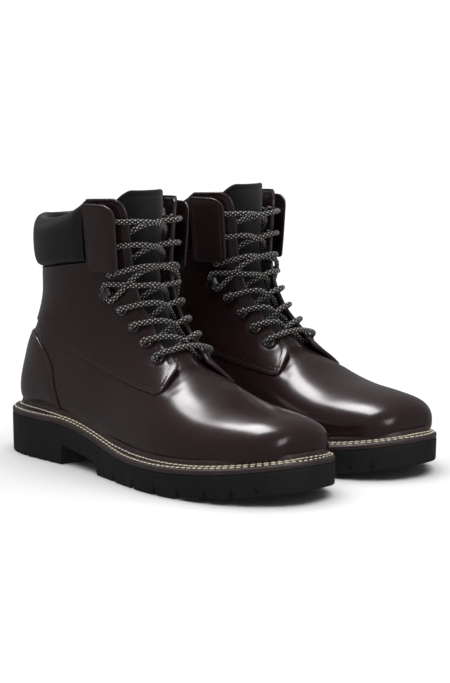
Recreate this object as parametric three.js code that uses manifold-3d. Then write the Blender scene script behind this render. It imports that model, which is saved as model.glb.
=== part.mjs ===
// A pair of insulated six-inch lace-up boots with a lug sole, in millimetres, +Z up.
// Each boot is shaped in its own frame: u from the heel to the toe, v outwards to the lateral side, z up.
// The toes of the standing pair point along -Y, the right boot stands at -X and the left boot at +X.
import * as THREE from 'three';
import { mergeVertices } from 'three/addons/utils/BufferGeometryUtils.js';
import Module from 'manifold-3d';

const wasm = await Module();
wasm.setup();

// ---- driving dimensions ----
const SOLE_LENGTH = 311;
const TOE_SPRING = 9.7;
const TOE_SPRING_START = 0.66;
const HEEL_SOLE_HEIGHT = 29;
const FORE_SOLE_HEIGHT = 16;
const SOLE_RAMP = [0.25, 0.62];
const HEEL_BLOCK_END = 92;
const FORE_TREAD_START = 141;
const WAIST_RISE = { rear: 14, front: 8 };
const LUG_NOTCH = { width: 5.4, height: 6, depth: 11, overcut: 3 };
const LUG_NOTCHES = [167, 194, 220, 242, 264, 281, 294];
const WELT_THICKNESS = 3.8;
const WELT_LEDGE = { heel: 6.5, fore: 8.5 };
const WELT_RIB = { height: 4.6, thickness: 2.2 };
const GAP = 0.32;
const SOLE_GAP = 0.7;
const LEATHER = 1.8;
const STIFFENER = { outer: 2.1, inner: 3.1 };
const LINING = { outer: 3.4, inner: 6.8 };
const TONGUE = { outer: 9.8, inner: 12.4 };
const COLLAR_BULGE = 6;
const BOARD_INSET = 13;
const FOOTBED_INSET = 20;
const FLAP = {
  rearU: 119, frontU: 142.5, bottomZ: 141, topZ: 187.5, thickness: 2, rearStand: 2.4, frontStand: 8.2,
};
const EYELET = { flange: 4.2, bore: 2.6, barrel: 3.1, seat: 0.6, hole: 3.9, depth: 2.4, upperDepth: 3.7 };
const HOOK = { length: 10, width: 5.4, height: 6.5, plate: 0.9, seat: 0.6 };
const LACE_RADIUS = 1.75;
const HEEL_SPACING = 97;
const STAGGER = 11.5;
const TOE_OUT = THREE.MathUtils.degToRad(2.6);

// Fullness of the sole outline: half width over the width of a half circle, at stations along its length.
const SOLE_STATIONS = [
  [0.00, 61, 80], [0.05, 63, 69], [0.10, 59, 61.5], [0.20, 49.5, 48], [0.33, 42.6, 37.5], [0.46, 45.4, 38],
  [0.60, 54.8, 46.5], [0.70, 62.4, 55], [0.80, 67.5, 64], [0.88, 71.2, 74.5], [0.95, 71, 85], [1.00, 66, 95],
];

// Sections of the upper from the toe tip to the shaft top. Each runs from a ridge point (uT, zT) to a sole or
// heel point (uB, zB), with half widths on the lateral and medial side, the height of the widest point as a
// share of the section, and the roundness exponents of its upper and lower half.
const SECTIONS = [
  [302, 37, 301.5, 31, 2, 3, 0.50, 2.0, 2.0],
  [302, 44, 301, 28, 14, 18, 0.45, 2.1, 2.6],
  [297, 50, 297, 26, 24, 29, 0.42, 2.1, 3.2],
  [286, 54.2, 288, 24, 34, 38, 0.40, 2.1, 3.8],
  [265, 57, 268, 21, 43, 44, 0.38, 2.1, 4.2],
  [240, 60, 240, 19, 49, 46, 0.38, 2.1, 4.2],
  [218, 67, 205, 18, 50, 44.5, 0.40, 2.1, 4.2],
  [200, 79, 160, 19, 45, 39, 0.42, 2.1, 4.0],
  [184, 94, 105, 25, 38.5, 35.5, 0.44, 2.2, 3.8],
  [170, 109, 54, 31, 35.5, 34.5, 0.42, 2.3, 3.4],
  [161, 127, 12, 34, 34, 34, 0.42, 2.4, 2.6],
  [155.5, 145, 10.5, 66, 33.5, 33.5, 0.45, 2.5, 1.9],
  [154, 163, 34.5, 100, 33.5, 33.5, 0.48, 2.6, 2.2],
  [154.5, 180, 37, 136, 34.5, 34.5, 0.50, 2.6, 2.2],
  [155, 200, 36, 176, 36.5, 36.5, 0.50, 2.6, 2.2],
];

// Seam lines in side view, as (u, z) points.
const QUARTER_SEAM = [[-12, 106], [25, 101], [45, 100], [55, 97.5], [67.5, 89.5], [84, 85], [109, 79.5],
  [140, 72.5], [171, 66.5], [199, 62]];
const FACING_EDGE = [[198, 72], [195.5, 80], [190.2, 84.6], [174.2, 97.5], [158.8, 116.2], [153.7, 125.8],
  [150, 138], [148.4, 152], [148.3, 169], [147, 185], [141, 191.5]];
const COUNTER_SEAM = [[-12, 91], [30, 91], [50, 88.5], [60, 83.5], [68, 76.5], [74.5, 68], [77.5, 55],
  [82, 43], [86, 20]];
const COLLAR_LINE = [[-12, 138], [55, 138.8], [92, 143.3], [118, 146.5]];
const SHAFT_TOP = [[118, 190.5], [112, 186], [100, 180.5], [85, 176.5], [60, 174.5], [36, 177], [-12, 178]];

// Lacing stations as (u, z): four eyelets, the open hook and three upper eyelets.
const LOWER_EYELETS = [[182, 84.2], [168.6, 93.7], [156, 103.6], [144.3, 114.4]];
const HOOK_STATION = [132.5, 124.5];
const UPPER_EYELETS = [[136, 139], [135.5, 158], [135, 175.5]];

// ---- plain helpers ----
const clamp01 = (t) => Math.min(1, Math.max(0, t));
const smooth = (t) => t * t * (3 - 2 * t);
const mix = (a, b, t) => a + (b - a) * t;
const vec = (u, v, z) => new THREE.Vector3(u, v, z);

function spline(a, b, c, d, t) {
  return 0.5 * (2 * b + (c - a) * t + (2 * a - 5 * b + 4 * c - d) * t * t + (3 * b - a - 3 * c + d) * t ** 3);
}

function polylineZ(points, u) {
  for (let i = 1; i < points.length; i += 1) {
    const [[u0, z0], [u1, z1]] = [points[i - 1], points[i]];
    if (u <= u1) return mix(z0, z1, (u - u0) / (u1 - u0));
  }
  return points[points.length - 1][1];
}

// ---- solids ----
function geometryOf(points, triangles) {
  const geometry = new THREE.BufferGeometry();
  const numbers = points.flatMap((p) => [p.x, p.y, p.z]);
  geometry.setAttribute('position', new THREE.Float32BufferAttribute(numbers, 3));
  geometry.setIndex(triangles.flat());
  return geometry;
}

function signedVolume(geometry) {
  const p = geometry.attributes.position;
  const index = geometry.index.array;
  const [a, b, c] = [vec(0, 0, 0), vec(0, 0, 0), vec(0, 0, 0)];
  let sum = 0;
  for (let i = 0; i < index.length; i += 3) {
    a.fromBufferAttribute(p, index[i]);
    b.fromBufferAttribute(p, index[i + 1]);
    c.fromBufferAttribute(p, index[i + 2]);
    sum += a.dot(b.cross(c)) / 6;
  }
  return sum;
}

// Turns every triangle of an index list to face the other way.
function turnOver(indices) {
  for (let i = 0; i < indices.length; i += 3) [indices[i], indices[i + 1]] = [indices[i + 1], indices[i]];
}

function solidOf(source) {
  const geometry = source.clone();
  geometry.deleteAttribute('normal');
  geometry.deleteAttribute('uv');
  const merged = mergeVertices(geometry, 1e-4);
  const triVerts = Uint32Array.from(merged.index.array);
  if (signedVolume(merged) < 0) {
    turnOver(triVerts);
  }
  const vertProperties = Float32Array.from(merged.attributes.position.array);
  return new wasm.Manifold(new wasm.Mesh({ numProp: 3, vertProperties, triVerts }));
}

// A closed body through rings of equal length; its two ends are closed by fans.
function ringBody(rings) {
  const n = rings[0].length;
  const points = rings.flat();
  const triangles = [];
  for (let i = 0; i + 1 < rings.length; i += 1) {
    for (let j = 0; j < n; j += 1) {
      const [a, b] = [i * n + j, i * n + ((j + 1) % n)];
      triangles.push([a, b, b + n], [a, b + n, a + n]);
    }
  }
  const last = rings.length - 1;
  for (const [ring, first, turned] of [[rings[0], 0, false], [rings[last], last * n, true]]) {
    const centre = ring.reduce((sum, p) => sum.add(p), vec(0, 0, 0)).divideScalar(n);
    points.push(centre);
    const c = points.length - 1;
    for (let j = 0; j < n; j += 1) {
      const [a, b] = [first + j, first + ((j + 1) % n)];
      triangles.push(turned ? [c, a, b] : [c, b, a]);
    }
  }
  return solidOf(geometryOf(points, triangles));
}

// A closed loop of equal sections, such as a strip that runs all round.
function loopBody(sections) {
  const n = sections[0].length;
  const triangles = [];
  for (let i = 0; i < sections.length; i += 1) {
    const next = (i + 1) % sections.length;
    for (let j = 0; j < n; j += 1) {
      const [a, b, c, d] = [i * n + j, i * n + ((j + 1) % n), next * n + ((j + 1) % n), next * n + j];
      triangles.push([a, b, c], [a, c, d]);
    }
  }
  return solidOf(geometryOf(sections.flat(), triangles));
}

// A side view outline pushed through the boot from one v to another.
function sideCutter(outline, vFrom = -90, vTo = 90) {
  const shape = new THREE.Shape(outline.map(([u, z]) => new THREE.Vector2(u, z)));
  const geometry = new THREE.ExtrudeGeometry(shape, { depth: vTo - vFrom, bevelEnabled: false, steps: 1 });
  geometry.rotateX(Math.PI / 2).translate(0, vTo, 0);
  return solidOf(geometry);
}

// The same closed outline moved outwards (or inwards, below zero) by a distance.
function grown(outline, distance) {
  const area = outline.reduce((sum, [x, y], i) => {
    const [nx, ny] = outline[(i + 1) % outline.length];
    return sum + x * ny - nx * y;
  }, 0);
  const side = Math.sign(area);
  return outline.map((p, i) => {
    const before = outline[(i + outline.length - 1) % outline.length];
    const after = outline[(i + 1) % outline.length];
    const d0 = new THREE.Vector2(p[0] - before[0], p[1] - before[1]).normalize();
    const d1 = new THREE.Vector2(after[0] - p[0], after[1] - p[1]).normalize();
    const normal = new THREE.Vector2(d0.y + d1.y, -d0.x - d1.x).multiplyScalar(side).normalize();
    const reach = distance / Math.max(0.5, normal.dot(new THREE.Vector2(d1.y, -d1.x).multiplyScalar(side)));
    return [p[0] + normal.x * reach, p[1] + normal.y * reach];
  });
}

// ---- the sole's outline and height ----
function soleHalfWidth(t, column) {
  let i = SOLE_STATIONS.findIndex((row) => row[0] >= t) - 1;
  i = Math.max(0, i);
  const row = (k) => SOLE_STATIONS[Math.min(SOLE_STATIONS.length - 1, Math.max(0, k))][column];
  const [t0, t1] = [SOLE_STATIONS[i][0], SOLE_STATIONS[i + 1][0]];
  return spline(row(i - 1), row(i), row(i + 1), row(i + 2), (t - t0) / (t1 - t0)) * 2 * Math.sqrt(t * (1 - t));
}

function soleUnderside(u) {
  return TOE_SPRING * clamp01((u / SOLE_LENGTH - TOE_SPRING_START) / (1 - TOE_SPRING_START)) ** 2;
}

function soleTop(u) {
  const ramp = smooth(clamp01((u / SOLE_LENGTH - SOLE_RAMP[0]) / (SOLE_RAMP[1] - SOLE_RAMP[0])));
  return mix(HEEL_SOLE_HEIGHT, FORE_SOLE_HEIGHT, ramp) + soleUnderside(u);
}

// A point of the outline at angle a (0 at the heel, pi at the toe) and an inset from it.
function outlinePoint(angle, inset) {
  const at = (a) => {
    const t = (1 - Math.cos(a)) / 2;
    const lateral = Math.sin(a) >= 0;
    const half = soleHalfWidth(clamp01(t), lateral ? 1 : 2);
    return new THREE.Vector2(t * SOLE_LENGTH, lateral ? half : -half);
  };
  const point = at(angle);
  const tangent = at(angle + 0.01).sub(at(angle - 0.01)).normalize();
  return point.addScaledVector(new THREE.Vector2(tangent.y, -tangent.x), inset);
}

const PLATE_END_ANGLE = 0.12;

// A plate with the sole's outline, between two heights.
function solePlate(inset, low, high, steps = 13) {
  const rings = [];
  for (let i = 0; i <= steps; i += 1) {
    const angle = mix(PLATE_END_ANGLE, Math.PI - PLATE_END_ANGLE, i / steps);
    const [a, b] = [outlinePoint(angle, inset), outlinePoint(-angle, inset)];
    const corner = (p, height) => vec(p.x, p.y, height(p.x));
    rings.push([corner(a, low), corner(a, high), corner(b, high), corner(b, low)]);
  }
  return ringBody(rings);
}

const above = (height) => (u) => soleTop(u) + height;
const weltLedge = (u) => mix(WELT_LEDGE.heel, WELT_LEDGE.fore, smooth(clamp01(u / SOLE_LENGTH / 0.6)));

// The storm welt: a strip all round with a raised rib against the upper.
function makeWelt() {
  const count = 30;
  const sections = [];
  for (let i = 0; i < count; i += 1) {
    const angle = -Math.PI + (2 * Math.PI * (i + 0.5)) / count;
    const u = outlinePoint(angle, 0).x;
    const ledge = weltLedge(u);
    const rib = ledge + WELT_RIB.thickness;
    const profile = [[0, SOLE_GAP], [0, WELT_THICKNESS], [ledge, WELT_THICKNESS], [ledge + 0.4, RIB_TOP],
      [rib, RIB_TOP], [rib + 1.6, SOLE_GAP]];
    sections.push(profile.map(([inset, height]) => {
      const p = outlinePoint(angle, inset);
      return vec(p.x, p.y, soleTop(p.x) + height);
    }));
  }
  return loopBody(sections);
}

// ---- the upper's surface ----
function section(s) {
  const x = clamp01(s) * (SECTIONS.length - 1);
  const i = Math.min(SECTIONS.length - 2, Math.floor(x));
  const row = (k) => SECTIONS[Math.min(SECTIONS.length - 1, Math.max(0, k))];
  return SECTIONS[0].map((_, c) => spline(row(i - 1)[c], row(i)[c], row(i + 1)[c], row(i + 2)[c], x - i));
}

// s runs from the toe to the shaft top; theta is 0 on the ridge, pi/2 lateral, pi at the sole or heel.
function skin(s, theta) {
  const [uT, zT, uB, zB, lateral, medial, middle, roundTop, roundBottom] = section(s);
  const [c, w] = [Math.cos(theta), Math.sin(theta)];
  const power = 2 / (c > 0 ? roundTop : roundBottom);
  const height = Math.sign(c) * Math.abs(c) ** power;
  const along = height > 0 ? middle + height * (1 - middle) : middle + height * middle;
  const v = (w > 0 ? lateral : -medial) * Math.abs(w) ** power;
  return vec(mix(uB, uT, along), v, mix(zB, zT, along));
}

function skinNormal(s, theta) {
  const step = 0.004;
  const ds = skin(clamp01(s + step), theta).sub(skin(clamp01(s - step), theta));
  const around = 0.03;
  const dt = skin(s, theta + around).sub(skin(s, theta - around));
  return dt.cross(ds).normalize();
}

function offsetSkin(s, theta, offset) {
  return skin(s, theta).addScaledVector(skinNormal(Math.max(s, 0.02), theta), offset);
}

// The place on one side of the skin that shows at (u, z) in side view.
function locate([u, z], side) {
  let best = { error: Infinity };
  for (let i = 0; i <= 56; i += 1) {
    for (let j = 1; j < 32; j += 1) {
      const [s, theta] = [i / 56, (side * Math.PI * j) / 32];
      const p = skin(s, theta);
      const error = Math.hypot(p.x - u, p.z - z);
      if (error < best.error) best = { s, theta, error };
    }
  }
  let { s, theta } = best;
  for (let pass = 0; pass < 12; pass += 1) {
    const p = skin(s, theta);
    const [ps, pt] = [skin(s + 1e-3, theta).sub(p), skin(s, theta + 1e-3).sub(p)];
    const det = (ps.x * pt.z - pt.x * ps.z) / 1e-6;
    const [du, dz] = [u - p.x, z - p.z];
    s = clamp01(s + (0.7 * (du * pt.z - dz * pt.x)) / 1e-3 / det);
    theta += (0.7 * (dz * ps.x - du * ps.z)) / 1e-3 / det;
  }
  return { s, theta };
}

const RINGS = [0, 0.055, 0.13, 0.24, 0.35, 0.45, 0.54, 0.63, 0.71, 0.79, 0.86, 0.93, 1];
const HALF_RING = [14, 28, 42, 58, 80, 108, 145].map((degrees) => THREE.MathUtils.degToRad(degrees));
const RING_ANGLES = [0, ...HALF_RING, Math.PI, ...HALF_RING.map((angle) => -angle).reverse()];
const FACET_TOLERANCE = 0.12;

function skinSolid(offset, extraTop = 0) {
  const rings = RINGS.map((s) => RING_ANGLES.map((theta) => offsetSkin(s, theta, offset)));
  if (extraTop > 0) rings.push(rings[rings.length - 1].map((p) => p.clone().add(vec(0, 0, extraTop))));
  return ringBody(rings);
}

function skinLayer(outer, inner) {
  return skinSolid(-outer).subtract(skinSolid(-inner, 5));
}

// ---- everything below the upper ----
const RIB_TOP = WELT_THICKNESS + WELT_RIB.height;

// The walls of the upper stand on the welt's rib, so everything under the rib's top is cut away from them.
function clearOfSole(body, height = RIB_TOP + 0.9) {
  const line = [-20, 70, 100, 130, 160, 190, 215, 245, 275, 300, 330].map((u) => [u, soleTop(u) + height]);
  return body.subtract(sideCutter([...line, [330, -60], [-20, -60]]));
}

function makeOutsole() {
  const waist = sideCutter([[HEEL_BLOCK_END, -5], [HEEL_BLOCK_END + 1, WAIST_RISE.rear],
    [FORE_TREAD_START - 2, WAIST_RISE.front], [FORE_TREAD_START + 1, -5]]);
  let body = solePlate(0, soleUnderside, soleTop, 20).subtract(waist);
  const { width, height, depth, overcut } = LUG_NOTCH;
  const notchAt = (u, v, side) => {
    const low = soleUnderside(u) - overcut;
    const half = (width / 2) * (1 + overcut / height);
    const outline = [[u - half, low], [u + half, low], [u, soleUnderside(u) + height]];
    const [near, far] = [side * (Math.abs(v) - depth), side * (Math.abs(v) + 30)];
    return sideCutter(outline, Math.min(near, far), Math.max(near, far));
  };
  for (const u of LUG_NOTCHES) {
    const t = u / SOLE_LENGTH;
    body = body.subtract(notchAt(u, soleHalfWidth(t, 1), 1)).subtract(notchAt(u, soleHalfWidth(t, 2), -1));
  }
  return body;
}

function makeShank() {
  const rings = [70, 85, 100, 115, 130, 145, 165].map((u) => {
    const [low, high] = [soleTop(u) + WELT_THICKNESS + GAP, soleTop(u) + WELT_THICKNESS + GAP + 1.2];
    return [vec(u, 7, low), vec(u, 7, high), vec(u, -7, high), vec(u, -7, low)];
  });
  return ringBody(rings);
}

// ---- the lacing stations ----
function station([u, z], side) {
  const { s, theta } = locate([u, z], side);
  const normal = skinNormal(s, theta);
  const point = skin(s, theta);
  const inwards = skin(s, theta - side * 0.05).sub(point);
  inwards.addScaledVector(normal, -inwards.dot(normal)).normalize();
  return { s, theta, side, point, normal, inwards, along: normal.clone().cross(inwards) };
}

const SIDES = [1, -1];
const lowerStations = SIDES.map((side) => LOWER_EYELETS.map((at) => station(at, side)));
const hookStations = SIDES.map((side) => station(HOOK_STATION, side));
const upperStations = SIDES.map((side) => UPPER_EYELETS.map((at) => station(at, side)));

function atStation(geometry, { point, normal, inwards, along }) {
  const matrix = new THREE.Matrix4().makeBasis(inwards, along, normal).setPosition(point);
  return solidOf(geometry.applyMatrix4(matrix));
}

function eyeletGeometry(depth = EYELET.depth) {
  const { flange, bore, barrel, seat } = EYELET;
  const profile = [[barrel, seat], [flange, seat], [bore + 0.6, seat + 0.8], [bore, -depth], [barrel, -depth],
    [barrel, seat]];
  const geometry = new THREE.LatheGeometry(profile.map(([r, h]) => new THREE.Vector2(r, h)), 8);
  return geometry.rotateX(Math.PI / 2);
}

function punch(place) {
  return atStation(new THREE.CylinderGeometry(EYELET.hole, EYELET.hole, 9, 6).rotateX(Math.PI / 2), place);
}

// An open lacing hook: a base plate, a neck on the throat side and a cap that curls back over the lace.
function hookGeometry() {
  const { length, width, height, plate, seat } = HOOK;
  const [rear, front] = [-length * 0.55, length * 0.4];
  const outline = [[rear, seat], [front, seat], [front + 1.2, seat + 1.4], [front + 1.2, height - 1],
    [front, height + 0.3], [rear + 3.2, height + 0.5], [rear + 3.2, height + 0.5 - plate],
    [front - 0.5, height - plate], [front + 0.2, height - 1.6], [front + 0.2, seat + 1.9],
    [front - 0.6, seat + plate], [rear, seat + plate]];
  const shape = new THREE.Shape(outline.map(([x, y]) => new THREE.Vector2(x, y)));
  const geometry = new THREE.ExtrudeGeometry(shape, { depth: width, bevelEnabled: false, steps: 1 });
  return geometry.translate(0, 0, -width / 2).rotateX(Math.PI / 2);
}

// ---- the upper's panels ----
const quarterOutline = [...QUARTER_SEAM, ...FACING_EDGE, ...SHAFT_TOP];
const collarOutline = [...COLLAR_LINE, [118, 230], [-12, 230]];
const counterOutline = [...COUNTER_SEAM, [86, -20], [-12, -20]];
const throatOutline = [...FACING_EDGE.slice(1), [141, 230], [230, 230], [230, 80], [197, 80]];
const vampOutline = [...QUARTER_SEAM, ...FACING_EDGE.slice(0, 2), [212, 90], [320, 90], [320, -40],
  [-12, -40]];

const allStations = [...lowerStations.flat(), ...upperStations.flat()];
const leather = clearOfSole(skinLayer(0, LEATHER));

function makeQuarter(side) {
  const [vFrom, vTo] = side > 0 ? [0.2, 90] : [-90, -0.2];
  let body = leather.intersect(sideCutter(grown(quarterOutline, -GAP / 2), vFrom, vTo));
  body = body.subtract(sideCutter(grown(collarOutline, GAP / 2)));
  const ownStations = allStations.filter((item) => item.side === side);
  for (const place of ownStations) body = body.subtract(punch(place));
  return body;
}

// The vamp's own end that runs up under the first rows of lace.
function makeVampEnd() {
  const steps = [[0.445, -0.9], [0.475, -1.6], [0.5, -4.2], [0.53, -6.8], [0.565, -7.6]];
  const rings = steps.map(([s, outer]) => {
    const spread = Array.from({ length: 7 }, (_, j) => mix(-0.52, 0.52, j / 6));
    const top = spread.map((theta) => offsetSkin(s, theta, outer));
    const bottom = spread.map((theta) => offsetSkin(s, theta, outer - 1.6)).reverse();
    return [...top, ...bottom];
  });
  return ringBody(rings);
}

function makeVamp() {
  return leather.intersect(sideCutter(vampOutline)).subtract(sideCutter(grown(quarterOutline, GAP / 2)))
    .subtract(sideCutter(grown(counterOutline, GAP / 2))).add(makeVampEnd());
}

function makeCounter() {
  return leather.intersect(sideCutter(grown(counterOutline, -GAP / 2)));
}

const stiffenerLayer = clearOfSole(skinLayer(STIFFENER.outer, STIFFENER.inner), RIB_TOP + 2.5);
const heelStiffenerOutline = [[-12, 86], [40, 86], [62, 78], [80, 55], [92, 36], [92, -20], [-12, -20]];
const toePuffOutline = [[244, -20], [238, 90], [320, 90], [320, -20]];
const liningThroat = [[114, 230], [114, 150], [124, 128], [146, 100], [180, 68], [207, 62], [222, 62],
  [240, 90], [240, 230]];
const liningTop = [[-12, 174.5], [38, 173.5], [60, 171], [85, 173], [100, 177], [114, 183], [114, 230],
  [-12, 230]];

function makeLining() {
  const layer = clearOfSole(skinLayer(LINING.outer, LINING.inner), underLayer + 10);
  return layer.subtract(sideCutter(liningThroat)).subtract(sideCutter(liningTop));
}

// The point of the skin on a line of constant theta at a height of the shaft.
function atHeight(theta, z, offset) {
  let [low, high] = [9.5 / 14, 1];
  for (let i = 0; i < 30; i += 1) {
    const s = (low + high) / 2;
    if (skin(s, theta).z < z) low = s;
    else high = s;
  }
  return offsetSkin(low, theta, offset);
}

// The padded collar: a roll round the back of the shaft from one flap to the other.
function makeCollar() {
  const start = locate([116.2, 160], 1).theta;
  const count = 14;
  const profile = [[0, -1.6], [0.01, 2.4], [0.16, 0.85 * COLLAR_BULGE], [0.5, COLLAR_BULGE],
    [0.82, 0.8 * COLLAR_BULGE], [0.98, 0.3 * COLLAR_BULGE], [1, -1.6]];
  const rings = Array.from({ length: count + 1 }, (_, i) => {
    const theta = mix(start, 2 * Math.PI - start, i / count);
    const u = atHeight(theta, 160, 0).x;
    const low = polylineZ(COLLAR_LINE, u) + GAP;
    const high = polylineZ([...SHAFT_TOP].reverse(), u);
    return profile.map(([share, offset]) => atHeight(theta, mix(low, high, share), offset));
  });
  return ringBody(rings);
}

const TONGUE_OUTLINE = [[224, 137], [168, 77], [150, 100], [131, 128], [128, 189.5], [135, 195], [150, 196.4],
  [224, 196.4]];

function makeTongue() {
  return skinLayer(TONGUE.outer, TONGUE.inner).intersect(sideCutter(TONGUE_OUTLINE));
}

// A flap: a leather panel hinged along its rear edge, its front edge standing off the facing.
function makeFlap(side) {
  const { rearU, frontU, bottomZ, topZ, thickness, rearStand, frontStand } = FLAP;
  const [columns, rows] = [4, 3];
  const pointAt = (share, rise, extra) => {
    const { s, theta } = locate([mix(rearU, frontU, share), mix(bottomZ, topZ, rise)], side);
    return offsetSkin(s, theta, mix(rearStand, frontStand, share ** 1.3) + extra);
  };
  const steps = (count) => Array.from({ length: count + 1 }, (_, i) => i / count);
  const column = (share, extra) => steps(rows).map((rise) => pointAt(share, rise, extra));
  const patch = (extra) => steps(columns).map((share) => column(share, extra));
  const [inner, outer] = [patch(0), patch(thickness)];
  return ringBody(inner.map((points, i) => [...points, ...outer[i].slice().reverse()]));
}

// The three upper eyelets of a side, held together by the reinforcing stay behind the facing.
function makeUpperEyelets(index) {
  const places = upperStations[index];
  const side = SIDES[index];
  const rings = [131.5, 144, 157, 170, 182.5].map((z) => {
    const [rear, front] = [locate([130.5, z], side), locate([140, z], side)];
    const corners = [[rear, -2.6], [front, -2.6], [front, -3.4], [rear, -3.4]];
    return corners.map(([at, offset]) => offsetSkin(at.s, at.theta, offset));
  });
  const wall = (EYELET.bore + EYELET.barrel) / 2;
  const bore = () => new THREE.CylinderGeometry(wall, wall, 12, 8).rotateX(Math.PI / 2);
  let body = ringBody(rings);
  for (const place of places) {
    body = body.subtract(atStation(bore(), place)).add(atStation(eyeletGeometry(EYELET.upperDepth), place));
  }
  return body;
}

// ---- the lace ----
// Points of the lace at a hole, from outside the facing to inside it.
function threadHole(place, depth) {
  const shifted = place.point.clone().addScaledVector(place.inwards, 0.3);
  const at = (height) => shifted.clone().addScaledVector(place.normal, height);
  return [at(3.9), at(-depth - 2.4)];
}

// Points of the lace round a hook, from its lower side to its upper side.
function threadHook(place) {
  const { point, inwards, along, normal, side } = place;
  const at = (shift, rise) => point.clone().addScaledVector(inwards, shift).addScaledVector(along, rise * side)
    .addScaledVector(normal, 3.6);
  return [at(6, -5.4), at(1, -4.9), at(-0.2, 0), at(1, 4.9), at(6, 5.4)];
}

// A strand from inside one facing, across the throat, to outside the other. Where two strands cross, one is in
// front. The strand that leaves a hook starts outside as well.
function strand(from, to, front, startsOutside) {
  const depth = startsOutside ? 3 : -5.7;
  const along = (t, offset) => offsetSkin(mix(from.s, to.s, t), mix(from.theta, to.theta, t), offset);
  return [along(0.28, depth), along(0.5, front ? 0.2 : -3.9), along(0.71, 3.4)];
}

function makeLacePath() {
  const [lateral, medial] = [0, 1];
  const holes = (index) => [...lowerStations[index], hookStations[index], ...upperStations[index]];
  const [left, right] = [holes(lateral), holes(medial)];
  const hookIndex = LOWER_EYELETS.length;
  const strandRun = (first, second, firstIsLateral) => {
    const points = [];
    let [here, there] = [first, second];
    let lateralNow = firstIsLateral;
    for (let k = 0; k < 8; k += 1) {
      const place = here[k];
      const depth = k > hookIndex ? EYELET.upperDepth : EYELET.depth;
      points.push(...(k === hookIndex ? threadHook(place) : threadHole(place, depth)));
      if (k < 7) points.push(...strand(place, there[k + 1], !lateralNow, k === hookIndex));
      [here, there] = [there, here];
      lateralNow = !lateralNow;
    }
    return points;
  };
  const tailPoints = [[127.5, 26, 180.5], [123, 26.6, 184], [120, 27, 177], [119.5, 27, 163], [119, 27, 149]];
  const tail = (side) => tailPoints.map(([u, v, z]) => vec(u, side * v, z));
  const lateralRun = [...strandRun(left, right, true), ...tail(-1)];
  const medialRun = [...strandRun(right, left, false), ...tail(1)];
  const first = lowerStations[0][0];
  const bar = [-0.55, 0, 0.55].map((share) => offsetSkin(first.s, share * first.theta, 3));
  return [...medialRun.reverse(), ...bar, ...lateralRun];
}

function makeLace() {
  const path = makeLacePath();
  const sides = 8;
  let normal = vec(0, 0, 1);
  const rings = path.map((p, i) => {
    const tangent = path[Math.min(path.length - 1, i + 1)].clone().sub(path[Math.max(0, i - 1)]).normalize();
    normal = normal.clone().addScaledVector(tangent, -normal.dot(tangent)).normalize();
    const binormal = tangent.clone().cross(normal);
    return Array.from({ length: sides }, (_, j) => {
      const a = (2 * Math.PI * j) / sides;
      const [across, up] = [LACE_RADIUS * Math.cos(a), LACE_RADIUS * Math.sin(a)];
      return p.clone().addScaledVector(normal, across).addScaledVector(binormal, up);
    });
  });
  return ringBody(rings);
}

// ---- the parts of one boot, by name, with their material ----
const MATERIALS = {
  leather: { color: 0x2a1a1c, roughness: 0.28, metalness: 0 },
  collarLeather: { color: 0x141415, roughness: 0.45, metalness: 0 },
  textile: { color: 0x131314, roughness: 0.9, metalness: 0 },
  rubber: { color: 0x151516, roughness: 0.75, metalness: 0 },
  weltLeather: { color: 0x5d5048, roughness: 0.6, metalness: 0 },
  gunmetal: { color: 0x4a494c, roughness: 0.3, metalness: 1 },
  lace: { color: 0x2b2324, roughness: 0.85, metalness: 0 },
  insulation: { color: 0x2d2b2a, roughness: 0.95, metalness: 0 },
  board: { color: 0x9c8460, roughness: 0.9, metalness: 0 },
  steel: { color: 0x8c8f92, roughness: 0.4, metalness: 1 },
};

const underLayer = WELT_THICKNESS + GAP;
const bootParts = [
  ['outsole', 'rubber', makeOutsole()],
  ['welt', 'weltLeather', makeWelt()],
  ['bottom_filler', 'board', solePlate(14.5, above(SOLE_GAP), above(WELT_THICKNESS - 0.3))],
  ['shank', 'steel', makeShank()],
  ['insole_board', 'board', solePlate(BOARD_INSET, above(underLayer + 2), above(underLayer + 4.4))],
  ['footbed', 'insulation', solePlate(FOOTBED_INSET, above(underLayer + 4.9), above(underLayer + 9.4))],
  ['vamp', 'leather', makeVamp()],
  ['counter_panel', 'leather', makeCounter()],
  ['quarter_lateral', 'leather', makeQuarter(1)],
  ['quarter_medial', 'leather', makeQuarter(-1)],
  ['heel_stiffener', 'board', stiffenerLayer.intersect(sideCutter(heelStiffenerOutline))],
  ['toe_puff', 'board', stiffenerLayer.intersect(sideCutter(toePuffOutline))],
  ['lining', 'insulation', makeLining()],
  ['collar', 'collarLeather', makeCollar()],
  ['tongue', 'textile', makeTongue()],
  ['flap_lateral', 'leather', makeFlap(1)],
  ['flap_medial', 'leather', makeFlap(-1)],
  ['lace', 'lace', makeLace()],
  ['hook_lateral', 'gunmetal', atStation(hookGeometry(), hookStations[0])],
  ['hook_medial', 'gunmetal', atStation(hookGeometry(), hookStations[1])],
  ['upper_eyelets_lateral', 'gunmetal', makeUpperEyelets(0)],
  ['upper_eyelets_medial', 'gunmetal', makeUpperEyelets(1)],
];
['lateral', 'medial'].forEach((name, index) => lowerStations[index].forEach((place, i) => {
  bootParts.push([`eyelet_${name}_${i + 1}`, 'gunmetal', atStation(eyeletGeometry(), place)]);
}));

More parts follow.
